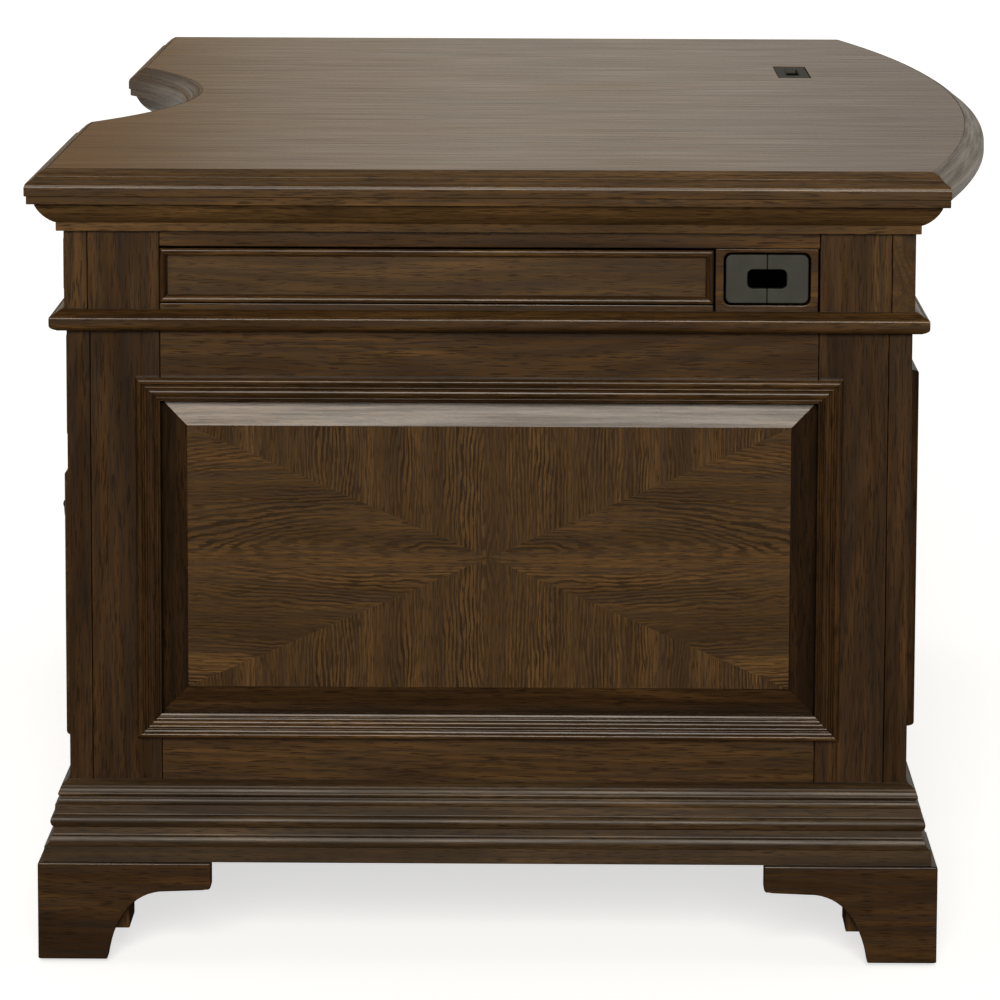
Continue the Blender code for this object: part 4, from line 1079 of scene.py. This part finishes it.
# the middle drawer follows the knee curve
body = "center_drawer"
low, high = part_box("center_drawer_front")
inset = APRON_INSET - DRAWER_PROUD
how = {"wood": front_oak, "slot": "oak_veneer", "body": body}
knee_board(
    "center_drawer_face", (-high[0], high[0]), inset + RIM_HIGH, FRONT_THICK - RIM_HIGH, (low[2], high[2]),
    "X", "center_drawer_front", steps=36, ease=0.0003, rim=RIM, **how,
)
(_, _, z0), (x1, y1, z1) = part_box("center_drawer_box")
behind = inset + FRONT_THICK + 0.0003
reach = x1 - WALL
how = {"wood": inside_wood, "slot": "drawer_interior", "body": body}
knee_board(
    "center_drawer_inner_front", (0.0001 - reach, reach - 0.0001), behind, WALL, (z0, z1), "X",
    "center_drawer_box", steps=36, ease=0.0005, **how,
)
begin = knee_y(reach, behind) + 0.0004
for side, word in SIDES:
    corners = (side * reach, begin, z0), (side * x1, y1, z1)
    drawer_piece(f"center_drawer_{word}_side", *corners, "Y", body)
drawer_piece("center_drawer_back", (0.0001 - reach, y1 - WALL, z0), (reach - 0.0001, y1, z1), "X", body)
xs = [(reach - 0.0002) * (2 * n / 36 - 1) for n in range(37)]
outline = [(x, y1 - WALL - 0.0001) for x in (xs[-1], xs[0])]
outline += [(x, knee_y(x, behind + WALL + 0.0001)) for x in xs]
piece = section(outline, lambda u, v: (u, v, z0 + 0.0005))
drawn_out(piece, (0, 0, FLOOR))
timber(piece, "center_drawer_floor", "X", "center_drawer_box", **how)
rail_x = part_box("right_inner_side")[0][0] - 0.0002
top_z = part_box("subtop_panel")[0][2] - 0.0002
for side, word in SIDES:
    corners = (side * opening, begin + 0.004, z0 + 0.004), (side * rail_x, y1 - 0.010, top_z)
    board(f"center_drawer_{word}_hanger", *corners, "Y", "sitter_apron")
slides(body, (-opening, opening), (-x1, x1), begin + 0.006, y1 - 0.010, z0 + 0.022, "sitter_apron")


# ---- Drawer pulls --------------------------------------------------------------------------
# Cast bronze bails, aged dark with the high spots rubbed: two turned rosettes with a ball post
# in each, and a bail that swells to the middle, hung between the posts.
bronze_tones = (0.35, (0.075, 0.050, 0.028)), (0.68, (0.24, 0.165, 0.092))
bronze_polish = (0.35, 0.50), (0.68, 0.30)
bronze = mottled("aged_bronze", (180, 180, 180), 4.0, bronze_tones, bronze_polish, ("Metallic", 1.0))
ROSETTE = arcs(
    (0, 0), (11.0, 0), (11.0, 0.8), (10.2, 1.7, 0.3), (8.2, 1.9), (7.6, 1.5), (6.8, 2.6, 0.25),
    (5.0, 3.2), (3.6, 3.3), (3.0, 4.2), (2.9, 7.4), (3.4, 8.2), (4.3, 10.8, 0.25), (3.3, 13.6, 0.25),
    (0, 14.6, 0.2), steps=4,
)


def turned(points, place):
    """Turns an outline of (radius, height) round its axis. place puts (x, y, height) in space."""
    piece = section(points, lambda u, v: (u, 0, v))
    turns = {"steps": 32, "angle": 2 * math.pi, "center": (0, 0, 0), "axis": (0, 0, 1)}
    joined = {"threshold": 0.00004}
    edit(piece, ("delete", {"type": "ONLY_FACE"}), ("spin", turns), ("remove_doubles", joined))
    for spot in piece.data.vertices:
        spot.co = place(*spot.co)
    edit(piece)
    return piece


BAIL_DROP, BAIL_THIN = 0.0145, 0.0026
# the bar's swell and its middle ring: (share of its length, how much thicker it grows over it)
BAIL_SWELL = (
    (0.10, 1.05), (0.12, 1.08), (0.12, 1.10), (0.11, 1.08), (0.02, 1.22), (0.03, 1.06), (0.03, 0.943),
    (0.02, 0.82), (0.11, 0.926), (0.12, 0.909), (0.12, 0.926), (0.10, 0.952),
)


def bail(name, begin, end, y, z, body, node_name):
    """The swinging handle: two elbows by a quarter turn, and a swelling bar between them."""
    angles = [math.pi * n / 7 for n in range(14)]
    ring = [(BAIL_THIN * math.cos(angle), BAIL_THIN * math.sin(angle)) for angle in angles]
    piece = section(ring, lambda u, v: (begin + u, y + v, z))
    bpy.ops.object.mode_set(mode="EDIT")
    bpy.ops.mesh.select_mode(type="VERT")
    bpy.ops.mesh.select_all(action="SELECT")
    elbow = {"steps": 8, "angle": math.pi / 2, "axis": (0, 1, 0)}
    here = begin + BAIL_DROP
    bpy.ops.mesh.spin(center=(here, y, z), **elbow)
    for share, grow in BAIL_SWELL:
        reach = share * (end - begin - 2 * BAIL_DROP)
        bpy.ops.mesh.extrude_region_move(TRANSFORM_OT_translate={"value": (reach, 0, 0)})
        here += reach
        bpy.ops.transform.resize(value=(1, grow, grow), center_override=(here, y, z - BAIL_DROP))
    bpy.ops.mesh.spin(center=(here, y, z), **elbow)
    bpy.ops.mesh.select_all(action="SELECT")
    bpy.ops.mesh.normals_make_consistent(inside=False)
    bpy.ops.object.mode_set(mode="OBJECT")
    smooth(piece, 50)
    fit(piece, name, bronze, "aged_bronze", body, node_name)


for side, word in SIDES:
    for kind, deep in (("frieze", 0.0094), ("box", 0.0094), ("file", 0.0117)):
        body = f"{word}_{kind}_drawer"
        node_name = f"{body}_pull"
        low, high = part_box(node_name)
        face, pivot = high[1], high[2] - 0.011
        hubs = (low[0] + 0.011, high[0] - 0.011)
        stretch = deep / 0.0112 - 1
        for hub, hand in zip(hubs, ("left", "right")):
            place = lambda u, v, w: (hub + u, face - w - max(0, w - 0.0042) * stretch, pivot + v)
            piece = turned(ROSETTE, place)
            smooth(piece, 40)
            fit(piece, f"{node_name}_{hand}_rosette", bronze, "aged_bronze", body, node_name)
        bail(f"{node_name}_bail", *hubs, face - deep, pivot, body, node_name)
